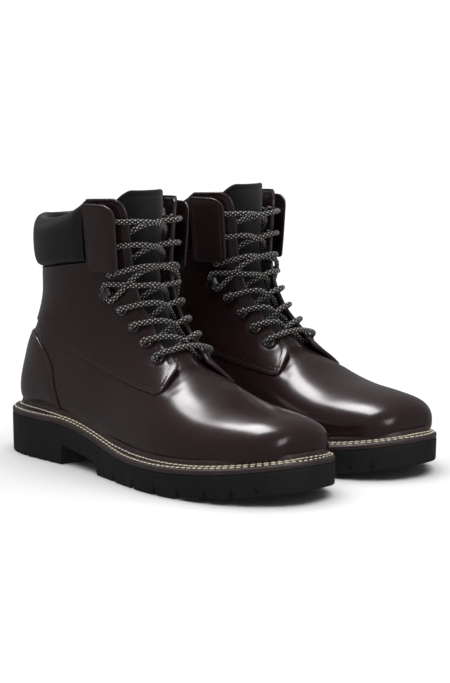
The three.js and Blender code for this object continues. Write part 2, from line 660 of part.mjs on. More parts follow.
// ---- the pair ----
// A left boot's lateral side is at +X and a right boot's at -X, and both toes are at -Y.
function meshOf(name, material, body, lateralSign) {
  const { vertProperties, triVerts } = body.simplify(FACET_TOLERANCE).getMesh();
  const positions = new Float32Array(vertProperties.length);
  for (let i = 0; i < vertProperties.length; i += 3) {
    positions[i] = lateralSign * vertProperties[i + 1];
    positions[i + 1] = -vertProperties[i];
    positions[i + 2] = vertProperties[i + 2];
  }
  const triangles = Array.from(triVerts);
  if (lateralSign < 0) turnOver(triangles);
  const geometry = new THREE.BufferGeometry();
  geometry.setAttribute('position', new THREE.BufferAttribute(positions, 3));
  geometry.setIndex(triangles);
  geometry.computeVertexNormals();
  const mesh = new THREE.Mesh(geometry, new THREE.MeshStandardMaterial(MATERIALS[material]));
  mesh.name = name;
  return mesh;
}

function makeBoot(side, lateralSign) {
  const boot = new THREE.Group();
  for (const [name, material, body] of bootParts) {
    boot.add(meshOf(`${name}_${side}`, material, body, lateralSign));
  }
  boot.rotation.z = lateralSign * TOE_OUT;
  boot.position.set((lateralSign * HEEL_SPACING) / 2, (lateralSign * STAGGER) / 2, 0);
  return boot;
}

const pair = new THREE.Group();
pair.add(makeBoot('right', -1), makeBoot('left', 1));
pair.updateMatrixWorld(true);
const box = new THREE.Box3().setFromObject(pair, true);
pair.position.set(-(box.min.x + box.max.x) / 2, -(box.min.y + box.max.y) / 2, -box.min.z);
pair.updateMatrixWorld(true);

export default pair;
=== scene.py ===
"""The looks of a pair of insulated six-inch lace-up boots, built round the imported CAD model.

Each boot is shaped once in its own frame in millimetres: u from the heel to the toe, v outwards to the
lateral side, z up. It is then put in place, mirrored for the right foot, and changed to metres.
"""

import math

import bmesh
import bpy
import numpy as np
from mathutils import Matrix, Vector


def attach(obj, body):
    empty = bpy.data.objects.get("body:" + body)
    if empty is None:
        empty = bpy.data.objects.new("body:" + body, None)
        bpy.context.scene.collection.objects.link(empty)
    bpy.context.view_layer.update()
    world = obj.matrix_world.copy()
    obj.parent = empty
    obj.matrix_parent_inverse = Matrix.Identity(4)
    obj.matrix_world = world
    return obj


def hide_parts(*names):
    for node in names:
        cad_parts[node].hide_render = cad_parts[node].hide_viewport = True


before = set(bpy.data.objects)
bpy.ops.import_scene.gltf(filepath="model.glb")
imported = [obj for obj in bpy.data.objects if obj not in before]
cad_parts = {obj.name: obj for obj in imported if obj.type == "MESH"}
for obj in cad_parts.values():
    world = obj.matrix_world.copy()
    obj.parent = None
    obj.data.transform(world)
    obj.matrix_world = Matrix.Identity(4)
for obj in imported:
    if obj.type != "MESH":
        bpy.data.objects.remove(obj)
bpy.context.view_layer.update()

# ---- the boot's own dimensions, in millimetres, as the CAD model has them ----
SOLE_LENGTH = 311.0
TOE_SPRING = 9.7
TOE_SPRING_START = 0.66
HEEL_SOLE_HEIGHT = 29.0
FORE_SOLE_HEIGHT = 16.0
SOLE_RAMP = (0.25, 0.62)
HEEL_BLOCK_END = 92.0
FORE_TREAD_START = 141.0
WAIST_RISE_REAR = 14.0
WAIST_RISE_FRONT = 8.0
LUG_NOTCHES = np.array([167.0, 194, 220, 242, 264, 281, 294])
LUG_NOTCH_HALF = 2.7
LUG_NOTCH_HEIGHT = 6.0
LUG_NOTCH_DEPTH = 11.0
HEEL_NOTCHES = np.arange(9.0, 80, 13)
CHANNEL_END = 16.0
CHANNEL_RISE = 5.0
RIB_TOP = 8.4
RIB_THICKNESS = 2.2
HEEL_SPACING = 97.0
STAGGER = 11.5
PAIR_SHIFT = 155.42
TOE_OUT = math.radians(2.6)
SIDES = (1, -1)

SOLE_STATIONS = np.array([
    [0.00, 61, 80], [0.05, 63, 69], [0.10, 59, 61.5], [0.20, 49.5, 48], [0.33, 42.6, 37.5], [0.46, 45.4, 38],
    [0.60, 54.8, 46.5], [0.70, 62.4, 55], [0.80, 67.5, 64],
    [0.88, 71.2, 74.5], [0.95, 71, 85], [1.00, 66, 95]])
SECTIONS = np.array([
    [302, 34.2, 302, 33.8, 0.3, 0.3, 0.50, 2.0, 2.0],
    [302, 44, 301, 28, 14, 18, 0.45, 2.1, 2.6],
    [297, 50, 297, 26, 24, 29, 0.42, 2.1, 3.2],
    [286, 54.2, 288, 24, 34, 38, 0.40, 2.1, 3.8],
    [265, 57, 268, 21, 43, 44, 0.38, 2.1, 4.2],
    [240, 60, 240, 19, 49, 46, 0.38, 2.1, 4.2],
    [218, 67, 205, 18, 50, 44.5, 0.40, 2.1, 4.2],
    [200, 79, 160, 19, 45, 39, 0.42, 2.1, 4.0],
    [184, 94, 105, 25, 38.5, 35.5, 0.44, 2.2, 3.8],
    [170, 109, 54, 31, 35.5, 34.5, 0.42, 2.3, 3.4],
    [161, 127, 12, 34, 34, 34, 0.42, 2.4, 2.6],
    [155.5, 145, 10.5, 66, 33.5, 33.5, 0.45, 2.5, 1.9],
    [154, 163, 34.5, 100, 33.5, 33.5, 0.48, 2.6, 2.2],
    [154.5, 180, 37, 136, 34.5, 34.5, 0.50, 2.6, 2.2],
    [155, 200, 36, 176, 36.5, 36.5, 0.50, 2.6, 2.2]])

QUARTER_SEAM = [[-12, 106], [25, 101], [45, 100], [55, 97.5], [67.5, 89.5], [84, 85], [109, 79.5],
                [140, 72.5], [171, 66.5], [196, 62.6]]
TAB_CORNER = [[199.6, 63.4], [200.4, 67]]
FACING_EDGE = [[198.5, 73], [195.5, 80], [190.2, 84.6], [174.2, 97.5], [158.8, 116.2], [153.7, 125.8],
               [150, 138], [148.4, 152], [148.3, 169], [147.6, 181], [145.5, 188], [140.5, 191.5]]
COUNTER_SEAM = [[-12, 91], [30, 91], [50, 88.5], [60, 83.5], [68, 76.5], [74.5, 68], [77.5, 55],
                [82, 43], [86, 20]]
COLLAR_LINE = [[-12, 138], [55, 138.8], [92, 143.3], [118, 146.5]]
SHAFT_TOP = [[-12, 178], [36, 177], [60, 174.5], [85, 176.5], [100, 180.5], [112, 186], [118, 190.5]]
LOWER_EYELETS = [[182, 84.2], [168.6, 93.7], [156, 103.6], [144.3, 114.4]]
HOOK_STATION = [132.5, 124.5]
UPPER_EYELETS = [[136, 139], [135.5, 158], [135, 175.5]]
TONGUE_OUTLINE = [[224, 137], [168, 77], [150, 100], [131, 128], [128, 189.5], [135, 195], [150, 196.4],
                  [224, 196.4]]
LINING_THROAT = [[114, 230], [114, 150], [124, 128], [146, 100], [180, 68], [207, 62], [222, 62], [240, 90],
                 [240, 230]]


# ---- plain helpers ----
def smooth(t):
    t = np.clip(t, 0.0, 1.0)
    return t * t * (3 - 2 * t)


def mix(a, b, t):
    return a + (b - a) * t


def spline_rows(table, x):
    """Catmull-Rom rows of a table at the row positions x."""
    last = len(table) - 1
    i = np.clip(np.floor(x).astype(int), 0, last - 1)
    t = (x - i)[:, None]
    a, b, c, d = (table[np.clip(i + k, 0, last)] for k in (-1, 0, 1, 2))
    bend, twist = 2 * a - 5 * b + 4 * c - d, 3 * b - a - 3 * c + d
    return 0.5 * (2 * b + (c - a) * t + bend * t * t + twist * t ** 3)


def curve_through(points, step=1.0):
    """A smooth line through points, with a vertex about every step."""
    points = np.asarray(points, float)
    chord = np.maximum(np.linalg.norm(np.diff(points, axis=0), axis=1), 1e-9)
    rows = []
    for k, length in enumerate(chord):
        count = max(1, int(round(length / step)))
        rows.append(k + np.arange(count) / count)
    rows = np.append(np.concatenate(rows), len(points) - 1)
    return spline_rows(points, rows)


def even_line(points, step):
    """The same line with its points an even distance apart."""
    arc = np.concatenate([[0], np.cumsum(np.linalg.norm(np.diff(points, axis=0), axis=1))])
    count = max(2, int(round(arc[-1] / step)) + 1)
    at = np.linspace(0, arc[-1], count)
    return np.stack([np.interp(at, arc, points[:, k]) for k in range(points.shape[1])], -1)


def ripple(a, b, seed):
    """Gentle fixed unevenness from a few waves, between about -1 and 1."""
    rng = np.random.default_rng(seed)
    total = np.zeros(np.broadcast(a, b).shape)
    for _ in range(6):
        fa, fb, phase = rng.uniform(0.5, 2.2), rng.uniform(-2.2, 2.2), rng.uniform(0, 6.28)
        total = total + np.sin(fa * a + fb * b + phase)
    return total / 4


def outline_distance(points, outline):
    """Signed distance of 2-D points from a closed outline, positive inside it."""
    outline = np.asarray(outline, float)
    best = np.full(len(points), 1e18)
    inside = np.zeros(len(points), bool)
    x, y = points[:, 0], points[:, 1]
    for p, q in zip(outline, np.roll(outline, -1, axis=0)):
        d = q - p
        t = np.clip(((x - p[0]) * d[0] + (y - p[1]) * d[1]) / max(d @ d, 1e-12), 0, 1)
        best = np.minimum(best, (x - p[0] - t * d[0]) ** 2 + (y - p[1] - t * d[1]) ** 2)
        if p[1] != q[1]:
            crosses = (p[1] > y) != (q[1] > y)
            inside ^= crosses & (x < d[0] * (y - p[1]) / d[1] + p[0])
    return np.where(inside, 1, -1) * np.sqrt(best)


# ---- the sole's outline and height ----
def underside(u):
    return TOE_SPRING * np.clip((u / SOLE_LENGTH - TOE_SPRING_START) / (1 - TOE_SPRING_START), 0, 1) ** 2


def sole_top(u):
    ramp = smooth((u / SOLE_LENGTH - SOLE_RAMP[0]) / (SOLE_RAMP[1] - SOLE_RAMP[0]))
    return mix(HEEL_SOLE_HEIGHT, FORE_SOLE_HEIGHT, ramp) + underside(u)


def outline_at(angle):
    t = (1 - np.cos(angle)) / 2
    row = np.interp(t, SOLE_STATIONS[:, 0], np.arange(len(SOLE_STATIONS)))
    fullness = spline_rows(SOLE_STATIONS, row)
    lateral = np.sin(angle) >= 0
    width = np.where(lateral, fullness[:, 1], -fullness[:, 2]) * 2 * np.sqrt(np.clip(t * (1 - t), 0, 1))
    return np.stack([t * SOLE_LENGTH, width], -1)


_angles = np.linspace(-math.pi, math.pi, 4001)
_outline = outline_at(_angles)
_kernel = np.exp(-np.linspace(-2.5, 2.5, 61) ** 2)
_kernel /= _kernel.sum()
_closed = np.vstack([_outline[-31:-1], _outline, _outline[1:31]])
_outline = np.stack([np.convolve(_closed[:, k], _kernel, "valid") for k in range(2)], -1)
_arc = np.concatenate([[0], np.cumsum(np.linalg.norm(np.diff(_outline, axis=0), axis=1))])
OUTLINE_LENGTH = _arc[-1]


def outline_point(arc, inset):
    """Points of the sole's outline at arc lengths from the toe round the medial side, moved inwards."""
    arc = np.mod(arc, OUTLINE_LENGTH)
    here, ahead, behind = (
        np.stack([np.interp(np.mod(arc + d, OUTLINE_LENGTH), _arc, _outline[:, k]) for k in range(2)], -1)
        for d in (0, 1.2, -1.2))
    tangent = ahead - behind
    tangent /= np.linalg.norm(tangent, axis=1)[:, None]
    inwards = np.stack([tangent[:, 1], -tangent[:, 0]], -1)
    return here + inwards * np.reshape(inset, (-1, 1))


# ---- the upper's surface ----
_fine = spline_rows(SECTIONS, np.linspace(0, len(SECTIONS) - 1, 1401))
_width = np.exp(-np.linspace(-2, 2, 81) ** 2)
_width /= _width.sum()
_padded = np.vstack([2 * _fine[0] - _fine[40:0:-1], _fine, 2 * _fine[-1] - _fine[-2:-42:-1]])
SECTION_TABLE = np.stack([np.convolve(_padded[:, k], _width, "valid") for k in range(9)], -1)
SECTION_ROWS = np.linspace(0, 1, len(SECTION_TABLE))


def skin(s, theta):
    """s runs from the toe to the shaft top; theta is 0 on the ridge, pi/2 lateral, pi at the sole."""
    u_top, z_top, u_low, z_low, lateral, medial, middle, round_top, round_low = (
        np.interp(s, SECTION_ROWS, SECTION_TABLE[:, k]) for k in range(9))
    c, w = np.cos(theta), np.sin(theta)
    power = 2 / np.where(c > 0, round_top, round_low)
    height = np.sign(c) * np.abs(c) ** power
    along = np.where(height > 0, middle + height * (1 - middle), middle + height * middle)
    v = np.where(w > 0, lateral, -medial) * np.abs(w) ** power
    return np.stack([mix(u_low, u_top, along), v, mix(z_low, z_top, along)], -1)


def skin_normal(s, theta):
    s = np.maximum(s, 0.02)
    step, around = 0.006, 0.03
    ds = skin(np.clip(s + step, 0, 1), theta) - skin(np.clip(s - step, 0, 1), theta)
    dt = skin(s, theta + around) - skin(s, theta - around)
    normal = np.cross(dt, ds)
    return normal / np.linalg.norm(normal, axis=1)[:, None]


def offset_skin(s, theta, offset):
    return skin(s, theta) + skin_normal(s, theta) * np.reshape(offset, (-1, 1))


_gs, _gt = np.meshgrid(np.linspace(0.02, 1, 80), np.linspace(0.02, math.pi - 0.02, 60), indexing="ij")
_gs, _gt = _gs.ravel(), _gt.ravel()


def locate(targets, side):
    """(s, theta) of the places on one side of the skin that show at (u, z) in side view."""
    targets = np.atleast_2d(np.asarray(targets, float))
    grid = skin(_gs, side * _gt)[:, [0, 2]]
    s, theta = np.empty(len(targets)), np.empty(len(targets))
    for k, target in enumerate(targets):
        i = np.argmin(((grid - target) ** 2).sum(1))
        s[k], theta[k] = _gs[i], side * _gt[i]
    for _ in range(14):
        p = skin(s, theta)
        ps = (skin(s + 1e-3, theta) - p) / 1e-3
        pt = (skin(s, theta + 1e-3) - p) / 1e-3
        det = ps[:, 0] * pt[:, 2] - pt[:, 0] * ps[:, 2]
        det = np.where(np.abs(det) < 1e-3, 1e-3, det)
        du, dz = targets[:, 0] - p[:, 0], targets[:, 1] - p[:, 2]
        s = np.clip(s + 0.7 * np.clip((du * pt[:, 2] - dz * pt[:, 0]) / det, -0.05, 0.05), 0.01, 0.999)
        theta = theta + 0.7 * np.clip((dz * ps[:, 0] - du * ps[:, 2]) / det, -0.1, 0.1)
    return s, theta


ROWS = 190
COLUMNS = 104


def skin_grid():
    """(s, theta) vertices and triangles over the whole skin, about evenly spaced."""
    rows = np.linspace(0, 1, ROWS + 1)
    fine = np.linspace(0, math.pi, 721)
    grid = np.empty((ROWS + 1, 2 * COLUMNS + 1, 2))
    for i, s in enumerate(rows):
        halves = []
        for side in SIDES:
            p = skin(np.full(fine.shape, max(s, 0.03)), side * fine)
            arc = np.concatenate([[0], np.cumsum(np.linalg.norm(np.diff(p, axis=0), axis=1))])
            halves.append(np.interp(np.linspace(0, arc[-1], COLUMNS + 1), arc, fine))
        grid[i, :, 0] = s
        grid[i, :, 1] = np.concatenate([-halves[1][::-1], halves[0][1:]])
    width = 2 * COLUMNS + 1
    i, j = np.meshgrid(np.arange(ROWS), np.arange(2 * COLUMNS), indexing="ij")
    a = (i * width + j).ravel()
    b, c, d = a + 1, a + width + 1, a + width
    faces = np.vstack([np.stack([a, b, c], -1), np.stack([a, c, d], -1)])
    return grid.reshape(-1, 2), faces


def cut(params, faces, value, keep_low=False):
    """Cuts the triangles along value = 0 and drops the low side, unless keep_low."""
    high = value >= 0
    count = high[faces].sum(1)
    whole = faces[count == 3]
    low = faces[count == 0]
    mixed = faces[(count == 1) | (count == 2)]
    if len(mixed):
        odd_high = high[mixed].sum(1) == 1
        odd = np.argmax(high[mixed] == odd_high[:, None], axis=1)
        rows = np.arange(len(mixed))
        a, b, c = (mixed[rows, (odd + k) % 3] for k in range(3))
        size = len(params)
        pairs = np.vstack([np.stack([a, b], -1), np.stack([a, c], -1)])
        keys = pairs.min(1).astype(np.int64) * size + pairs.max(1)
        unique, inverse = np.unique(keys, return_inverse=True)
        first, second = unique // size, unique % size
        share = value[first] / (value[first] - value[second])
        fresh = params[first] + (params[second] - params[first]) * share[:, None]
        params = np.vstack([params, fresh])
        p, q = size + inverse[: len(mixed)], size + inverse[len(mixed):]
        tip = np.stack([a, p, q], -1)
        base = np.vstack([np.stack([p, b, c], -1), np.stack([p, c, q], -1)])
        both = np.concatenate([odd_high, odd_high])
        whole = np.vstack([whole, tip[odd_high], base[~both]])
        low = np.vstack([low, tip[~odd_high], base[both]])
    faces = np.vstack([whole, low]) if keep_low else whole
    (au, av), (bu, bv) = ((params[faces[:, k]] - params[faces[:, 0]]).T for k in (1, 2))
    area = np.abs(au * bv - av * bu)
    faces = faces[area > 1e-12]
    used, inverse = np.unique(faces, return_inverse=True)
    return params[used], inverse.reshape(-1, 3)


EDGE_LEVELS = (0.25, 0.7, 1.3, 2.0, 2.8, 3.6)


def patch(field, grid, levels=EDGE_LEVELS):
    """The part of a grid where field(points) is above 0, with extra rows of vertices along its edge."""
    params, faces = grid
    points = skin(params[:, 0], params[:, 1])
    near = field(points)
    keep = near > -12
    faces = faces[keep[faces].any(1)]
    used, inverse = np.unique(faces, return_inverse=True)
    params, faces = params[used], inverse.reshape(-1, 3)
    params, faces = cut(params, faces, field(skin(params[:, 0], params[:, 1])))
    for level in levels:
        value = field(skin(params[:, 0], params[:, 1])) - level
        value[np.abs(value) < 0.02] = 0
        params, faces = cut(params, faces, value, keep_low=True)
    return params, faces, field(skin(params[:, 0], params[:, 1]))


def rounded(distance, radius):
    """How far a rounded edge falls below the face at a distance from the edge."""
    t = np.clip(1 - distance / radius, 0, 1)
    return radius * (1 - np.sqrt(np.clip(1 - t * t, 0, 1)))


def shell(params, faces, outer, inner):
    """A closed body between two offsets from the skin."""
    top = offset_skin(params[:, 0], params[:, 1], outer)
    bottom = offset_skin(params[:, 0], params[:, 1], inner)
    n = len(params)
    keys = np.round(skin(params[:, 0], params[:, 1]), 3)
    _, first, inverse = np.unique(keys, axis=0, return_index=True, return_inverse=True)
    welded = first[inverse.ravel()]
    faces = welded[faces]
    faces = faces[(faces[:, 0] != faces[:, 1]) & (faces[:, 1] != faces[:, 2]) & (faces[:, 2] != faces[:, 0])]
    edges = np.vstack([faces[:, [0, 1]], faces[:, [1, 2]], faces[:, [2, 0]]])
    keys = edges.min(1).astype(np.int64) * n + edges.max(1)
    _, place, count = np.unique(keys, return_index=True, return_counts=True)
    rim = edges[place[count == 1]]
    walls = np.vstack([np.stack([rim[:, 1], rim[:, 0], rim[:, 0] + n], -1),
                       np.stack([rim[:, 1], rim[:, 0] + n, rim[:, 1] + n], -1)])
    return np.vstack([top, bottom]), np.vstack([faces, faces[:, ::-1] + n, walls])


def rings_body(rings, closed_path=False):
    """Triangles through rings of equal length; the path is closed on itself or its ends are capped."""
    rings = np.asarray(rings, float)
    count, n = rings.shape[:2]
    verts = rings.reshape(-1, 3)
    i, j = np.meshgrid(np.arange(count if closed_path else count - 1), np.arange(n), indexing="ij")
    i, j = i.ravel(), j.ravel()
    a, b = i * n + j, i * n + (j + 1) % n
    d, c = ((i + 1) % count) * n + j, ((i + 1) % count) * n + (j + 1) % n
    faces = [tuple(f) for f in np.stack([a, b, c, d], -1)]
    if not closed_path:
        faces.append(tuple(range(n - 1, -1, -1)))
        faces.append(tuple((count - 1) * n + k for k in range(n)))
    return verts, faces


# ---- putting pieces into the scene ----
def to_world(points, sign):
    """Boot frame in millimetres to the shared frame in metres; sign is 1 for the left boot, -1 the right."""
    points = np.asarray(points, float)
    x, y = sign * points[:, 1], -points[:, 0]
    c, s = math.cos(sign * TOE_OUT), math.sin(sign * TOE_OUT)
    return np.stack([c * x - s * y + sign * HEEL_SPACING / 2,
                     s * x + c * y + sign * STAGGER / 2 + PAIR_SHIFT, points[:, 2]], -1) / 1000


BOOTS = (("right", -1), ("left", 1))


def make_object(name, verts, faces, material, crease=48, edge=None, uv=None):
    mesh = bpy.data.meshes.new(name)
    mesh.from_pydata(verts.tolist(), [], [tuple(int(i) for i in f) for f in faces])
    # The edge attribute is painted light: a highlight along leather panel edges, and shade on the welt.
    if edge is not None:
        attribute = mesh.attributes.new("edge", "FLOAT", "POINT")
        attribute.data.foreach_set("value", np.asarray(edge, np.float32))
    if uv is not None:
        layer = mesh.uv_layers.new(name="along")
        loops = np.empty(len(mesh.loops), np.int32)
        mesh.loops.foreach_get("vertex_index", loops)
        layer.data.foreach_set("uv", uv[loops].astype(np.float32).ravel())
    mesh.validate()
    work = bmesh.new()
    work.from_mesh(mesh)
    bmesh.ops.recalc_face_normals(work, faces=work.faces)
    work.to_mesh(mesh)
    work.free()
    mesh.shade_smooth()
    mesh.set_sharp_from_angle(angle=math.radians(crease))
    mesh.materials.append(material)
    obj = bpy.data.objects.new(name, mesh)
    bpy.context.scene.collection.objects.link(obj)
    return obj


def both_boots(base, built, material, body="root", own=True, crease=48, uv=None):
    """The same piece on both boots; own means that it stands for the CAD node of its name."""
    verts, faces, edge = (*built, None)[:3]
    made = []
    for side_name, sign in BOOTS:
        name = f"{base}_{side_name}"
        obj = make_object(f"{name}_look", to_world(verts, sign), faces, material, crease, edge, uv)
        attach(obj, body if body == "root" else f"{body}_{side_name}")
        if own:
            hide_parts(name)
        made.append(obj)
    return made


# ---- materials ----
class Look:
    """A procedural material, with short ways to make the nodes that feed its shader."""

    def __init__(self, name, roughness, metallic=0.0, coat=0.0, coat_roughness=0.2, sheen=0.0, specular=0.5):
        self.material = bpy.data.materials.new(name)
        self.material.use_nodes = True
        self.nodes, self.links = self.material.node_tree.nodes, self.material.node_tree.links
        self.shader = self.nodes["Principled BSDF"]
        settings = {"Roughness": roughness, "Metallic": metallic, "Coat Weight": coat, "Sheen Weight": sheen,
                    "Coat Roughness": coat_roughness, "Specular IOR Level": specular}
        for socket, value in settings.items():
            self.shader.inputs[socket].default_value = value
        self.coords = self.nodes.new("ShaderNodeTexCoord")

    def feed(self, socket, source):
        """Links a source, or sets a plain number or colour."""
        if hasattr(source, "links"):
            self.links.new(source, socket)
        else:
            socket.default_value = source

    def colour(self, source):
        self.feed(self.shader.inputs["Base Color"], source)

    def roughness(self, source):
        self.feed(self.shader.inputs["Roughness"], source)

    def noise(self, scale, detail=3.0, stretch=None):
        texture = self.nodes.new("ShaderNodeTexNoise")
        texture.inputs["Scale"].default_value = scale
        texture.inputs["Detail"].default_value = detail
        source = self.coords.outputs["Object"]
        if stretch is not None:
            mapping = self.nodes.new("ShaderNodeMapping")
            mapping.inputs["Scale"].default_value = stretch
            self.feed(mapping.inputs["Vector"], source)
            source = mapping.outputs["Vector"]
        self.feed(texture.inputs["Vector"], source)
        return texture.outputs["Fac"]

    def ramp(self, factor, low, high):
        """A colour ramp between two (position, colour) stops."""
        node = self.nodes.new("ShaderNodeValToRGB")
        for element, (position, colour) in zip(node.color_ramp.elements, (low, high)):
            element.position = position
            element.color = (*colour, 1)
        self.feed(node.inputs["Fac"], factor)
        return node.outputs["Color"]

    def spread(self, factor, low, high, start=0.3, end=0.7):
        node = self.nodes.new("ShaderNodeMapRange")
        for socket, value in {"From Min": start, "From Max": end, "To Min": low, "To Max": high}.items():
            node.inputs[socket].default_value = value
        self.feed(node.inputs["Value"], factor)
        return node.outputs["Result"]

    def math(self, operation, *values):
        node = self.nodes.new("ShaderNodeMath")
        node.operation = operation
        for socket, value in zip(node.inputs, values):
            self.feed(socket, value)
        return node.outputs["Value"]

    def blend(self, factor, first, second):
        node = self.nodes.new("ShaderNodeMix")
        node.data_type = "RGBA"
        self.feed(node.inputs[0], factor)
        self.feed(node.inputs[6], first)
        self.feed(node.inputs[7], second if hasattr(second, "links") else (*second, 1))
        return node.outputs[2]

    def edge(self):
        """The edge attribute: painted highlight along the leather panels' edges, and painted shade on the
        welt.
        """
        node = self.nodes.new("ShaderNodeAttribute")
        node.attribute_name = "edge"
        return node.outputs["Fac"]

    def bump(self, *heights):
        """Stacked bumps from (height socket, strength, distance)."""
        normal = None
        for height, strength, distance in heights:
            node = self.nodes.new("ShaderNodeBump")
            node.inputs["Strength"].default_value = strength
            node.inputs["Distance"].default_value = distance
            self.feed(node.inputs["Height"], height)
            if normal is not None:
                self.feed(node.inputs["Normal"], normal)
            normal = node.outputs["Normal"]
        self.feed(self.shader.inputs["Normal"], normal)


def leather(name, dark, light, edge_highlight_colour, roughness, coat, grain, grain_height):
    look = Look(name, roughness[0], coat=coat, coat_roughness=0.22, specular=0.42)
    cloud = look.ramp(look.noise(16, 4), (0.32, dark), (0.68, light))
    speck = look.nodes.new("ShaderNodeHueSaturation")
    look.feed(speck.inputs["Value"], look.spread(look.noise(420, 2), 0.95, 1.06))
    look.feed(speck.inputs["Color"], cloud)
    # Painted highlight: the edge attribute blends a lighter, greyer tone along the panel edges.
    look.colour(look.blend(look.edge(), speck.outputs["Color"], edge_highlight_colour))
    look.roughness(look.spread(look.noise(46, 5, (1, 1, 2.2)), *roughness))
    cells = look.nodes.new("ShaderNodeTexVoronoi")
    cells.inputs["Scale"].default_value = grain
    look.feed(cells.inputs["Vector"], look.coords.outputs["Object"])
    look.bump((look.noise(38, 2), 0.06, 0.0008), (cells.outputs["Distance"], 0.07, grain_height))
    return look.material


def welt_material():
    look = Look("welt_leather", 0.5, coat=0.1)
    streak = look.noise(120, 4, (1, 1, 5))
    brown = look.ramp(streak, (0.3, (0.024, 0.0145, 0.0150)), (0.7, (0.040, 0.026, 0.026)))
    # Painted shade: the edge attribute darkens the welt from its stitch rows to the rib's foot, and on the
    # rib's back.
    look.colour(look.blend(look.edge(), brown, (0.010, 0.007, 0.006)))
    look.roughness(look.spread(look.noise(200, 3), 0.36, 0.58))
    look.bump((look.noise(700, 3, (1, 1, 2)), 0.35, 0.0003))
    return look.material


def rubber_material():
    look = Look("black_rubber", 0.66, specular=0.35)
    cloud = look.noise(30, 4)
    look.colour(look.ramp(cloud, (0.3, (0.0068, 0.0070, 0.0072)), (0.7, (0.0100, 0.0103, 0.0105))))
    look.roughness(look.spread(look.noise(90, 4), 0.56, 0.74))
    look.bump((look.noise(160, 2), 0.15, 0.0004), (look.noise(1500, 2), 0.35, 0.0002))
    return look.material


def woven_material(name, dark, light, threads, roughness, height, sheen=0.0):
    """A plain weave seen from any side: two sets of fine waves."""
    look = Look(name, roughness, sheen=sheen, specular=0.25)
    waves = []
    for direction in ("Z", "DIAGONAL"):
        wave = look.nodes.new("ShaderNodeTexWave")
        wave.bands_direction = direction
        for socket, value in {"Scale": threads, "Distortion": 0.6, "Detail Scale": 3}.items():
            wave.inputs[socket].default_value = value
        look.feed(wave.inputs["Vector"], look.coords.outputs["Object"])
        waves.append(wave.outputs["Fac"])
    weave = look.math("MULTIPLY", *waves)
    look.colour(look.ramp(weave, (0.05, dark), (0.8, light)))
    look.bump((weave, 0.6, height), (look.noise(40, 2), 0.15, 0.001))
    return look.material


def nap_material(name, dark, light, scale, height):
    look = Look(name, 0.95, sheen=0.3, specular=0.2)
    fibre = look.noise(scale, 5)
    look.colour(look.ramp(fibre, (0.3, dark), (0.7, light)))
    look.bump((fibre, 0.7, height))
    return look.material


def metal_material(name, dark, light, roughness):
    look = Look(name, roughness, metallic=1.0)
    worn = look.noise(260, 4)
    look.colour(look.ramp(worn, (0.35, dark), (0.7, light)))
    look.roughness(look.spread(worn, roughness - 0.07, roughness + 0.1))
    look.bump((look.noise(900, 2), 0.1, 0.0001))
    return look.material


def thread_material(name, dark, light, twist):
    look = Look(name, 0.7, sheen=0.1, specular=0.3)
    strand = look.noise(twist, 3)
    look.colour(look.ramp(strand, (0.35, dark), (0.62, light)))
    look.bump((strand, 0.5, 0.0002))
    return look.material


def lace_material():
    """A round braid: staggered pale dots on near-black, from the UV along and round the lace."""
    look = Look("braided_lace", 0.82, sheen=0.15, specular=0.25)
    split = look.nodes.new("ShaderNodeSeparateXYZ")
    look.feed(split.inputs["Vector"], look.coords.outputs["UV"])
    along, around = split.outputs["X"], split.outputs["Y"]
    waves = [look.math("SINE", look.math(operation, along, around)) for operation in ("ADD", "SUBTRACT")]
    weave = look.math("ABSOLUTE", look.math("MULTIPLY", *waves))
    dots = look.ramp(weave, (0.68, (0, 0, 0)), (0.86, (1, 1, 1)))
    ground = look.ramp(look.noise(900, 2), (0.3, (0.010, 0.0085, 0.0085)), (0.7, (0.026, 0.022, 0.022)))
    look.colour(look.blend(dots, ground, (0.62, 0.59, 0.56)))
    look.bump((weave, 0.55, 0.0003), (look.noise(2500, 2), 0.3, 0.0001))
    return look.material


# The third colour of each leather is the painted highlight for its panel edges.
OXBLOOD = leather("oxblood_leather", (0.0175, 0.0082, 0.0090), (0.0245, 0.0115, 0.0125),
                  (0.060, 0.038, 0.040), (0.21, 0.26), 0.15, 900, 0.00010)
FLAP_LEATHER = leather("flap_leather", (0.0190, 0.0090, 0.0098), (0.0260, 0.0122, 0.0134),
                       (0.055, 0.036, 0.038), (0.33, 0.40), 0.10, 900, 0.00012)
COLLAR_LEATHER = leather("black_collar_leather", (0.0052, 0.0052, 0.0055), (0.0080, 0.0080, 0.0084),
                         (0.015, 0.015, 0.016), (0.36, 0.44), 0.08, 700, 0.00018)
WELT_LEATHER = welt_material()
RUBBER = rubber_material()
TONGUE_TEXTILE = woven_material("black_tongue_textile", (0.004, 0.004, 0.0042), (0.013, 0.013, 0.0135), 420,
                                0.88, 0.0003, 0.25)
LINING_NAP = nap_material("lining_nap", (0.010, 0.009, 0.009), (0.024, 0.022, 0.021), 900, 0.0006)
GUNMETAL = metal_material("gunmetal", (0.10, 0.10, 0.105), (0.26, 0.255, 0.255), 0.28)
CREAM_THREAD = thread_material("cream_welt_thread", (0.50, 0.43, 0.30), (0.86, 0.79, 0.62), 1500)
DARK_THREAD = thread_material("tonal_upper_thread", (0.012, 0.007, 0.007), (0.034, 0.020, 0.020), 1500)
LACE_BRAID = lace_material()
BOARD = nap_material("fibre_board", (0.20, 0.14, 0.08), (0.33, 0.25, 0.16), 240, 0.0004)
CORK = nap_material("cork_filler", (0.16, 0.09, 0.045), (0.30, 0.19, 0.10), 320, 0.0006)
STEEL = metal_material("shank_steel", (0.30, 0.31, 0.32), (0.45, 0.46, 0.47), 0.38)
FOOTBED_FELT = nap_material("footbed_felt", (0.016, 0.015, 0.015), (0.034, 0.032, 0.031), 800, 0.0006)


# ---- the sole ----
def nearest(u, places):
    return np.abs(np.subtract.outer(u, places)).min(axis=-1)


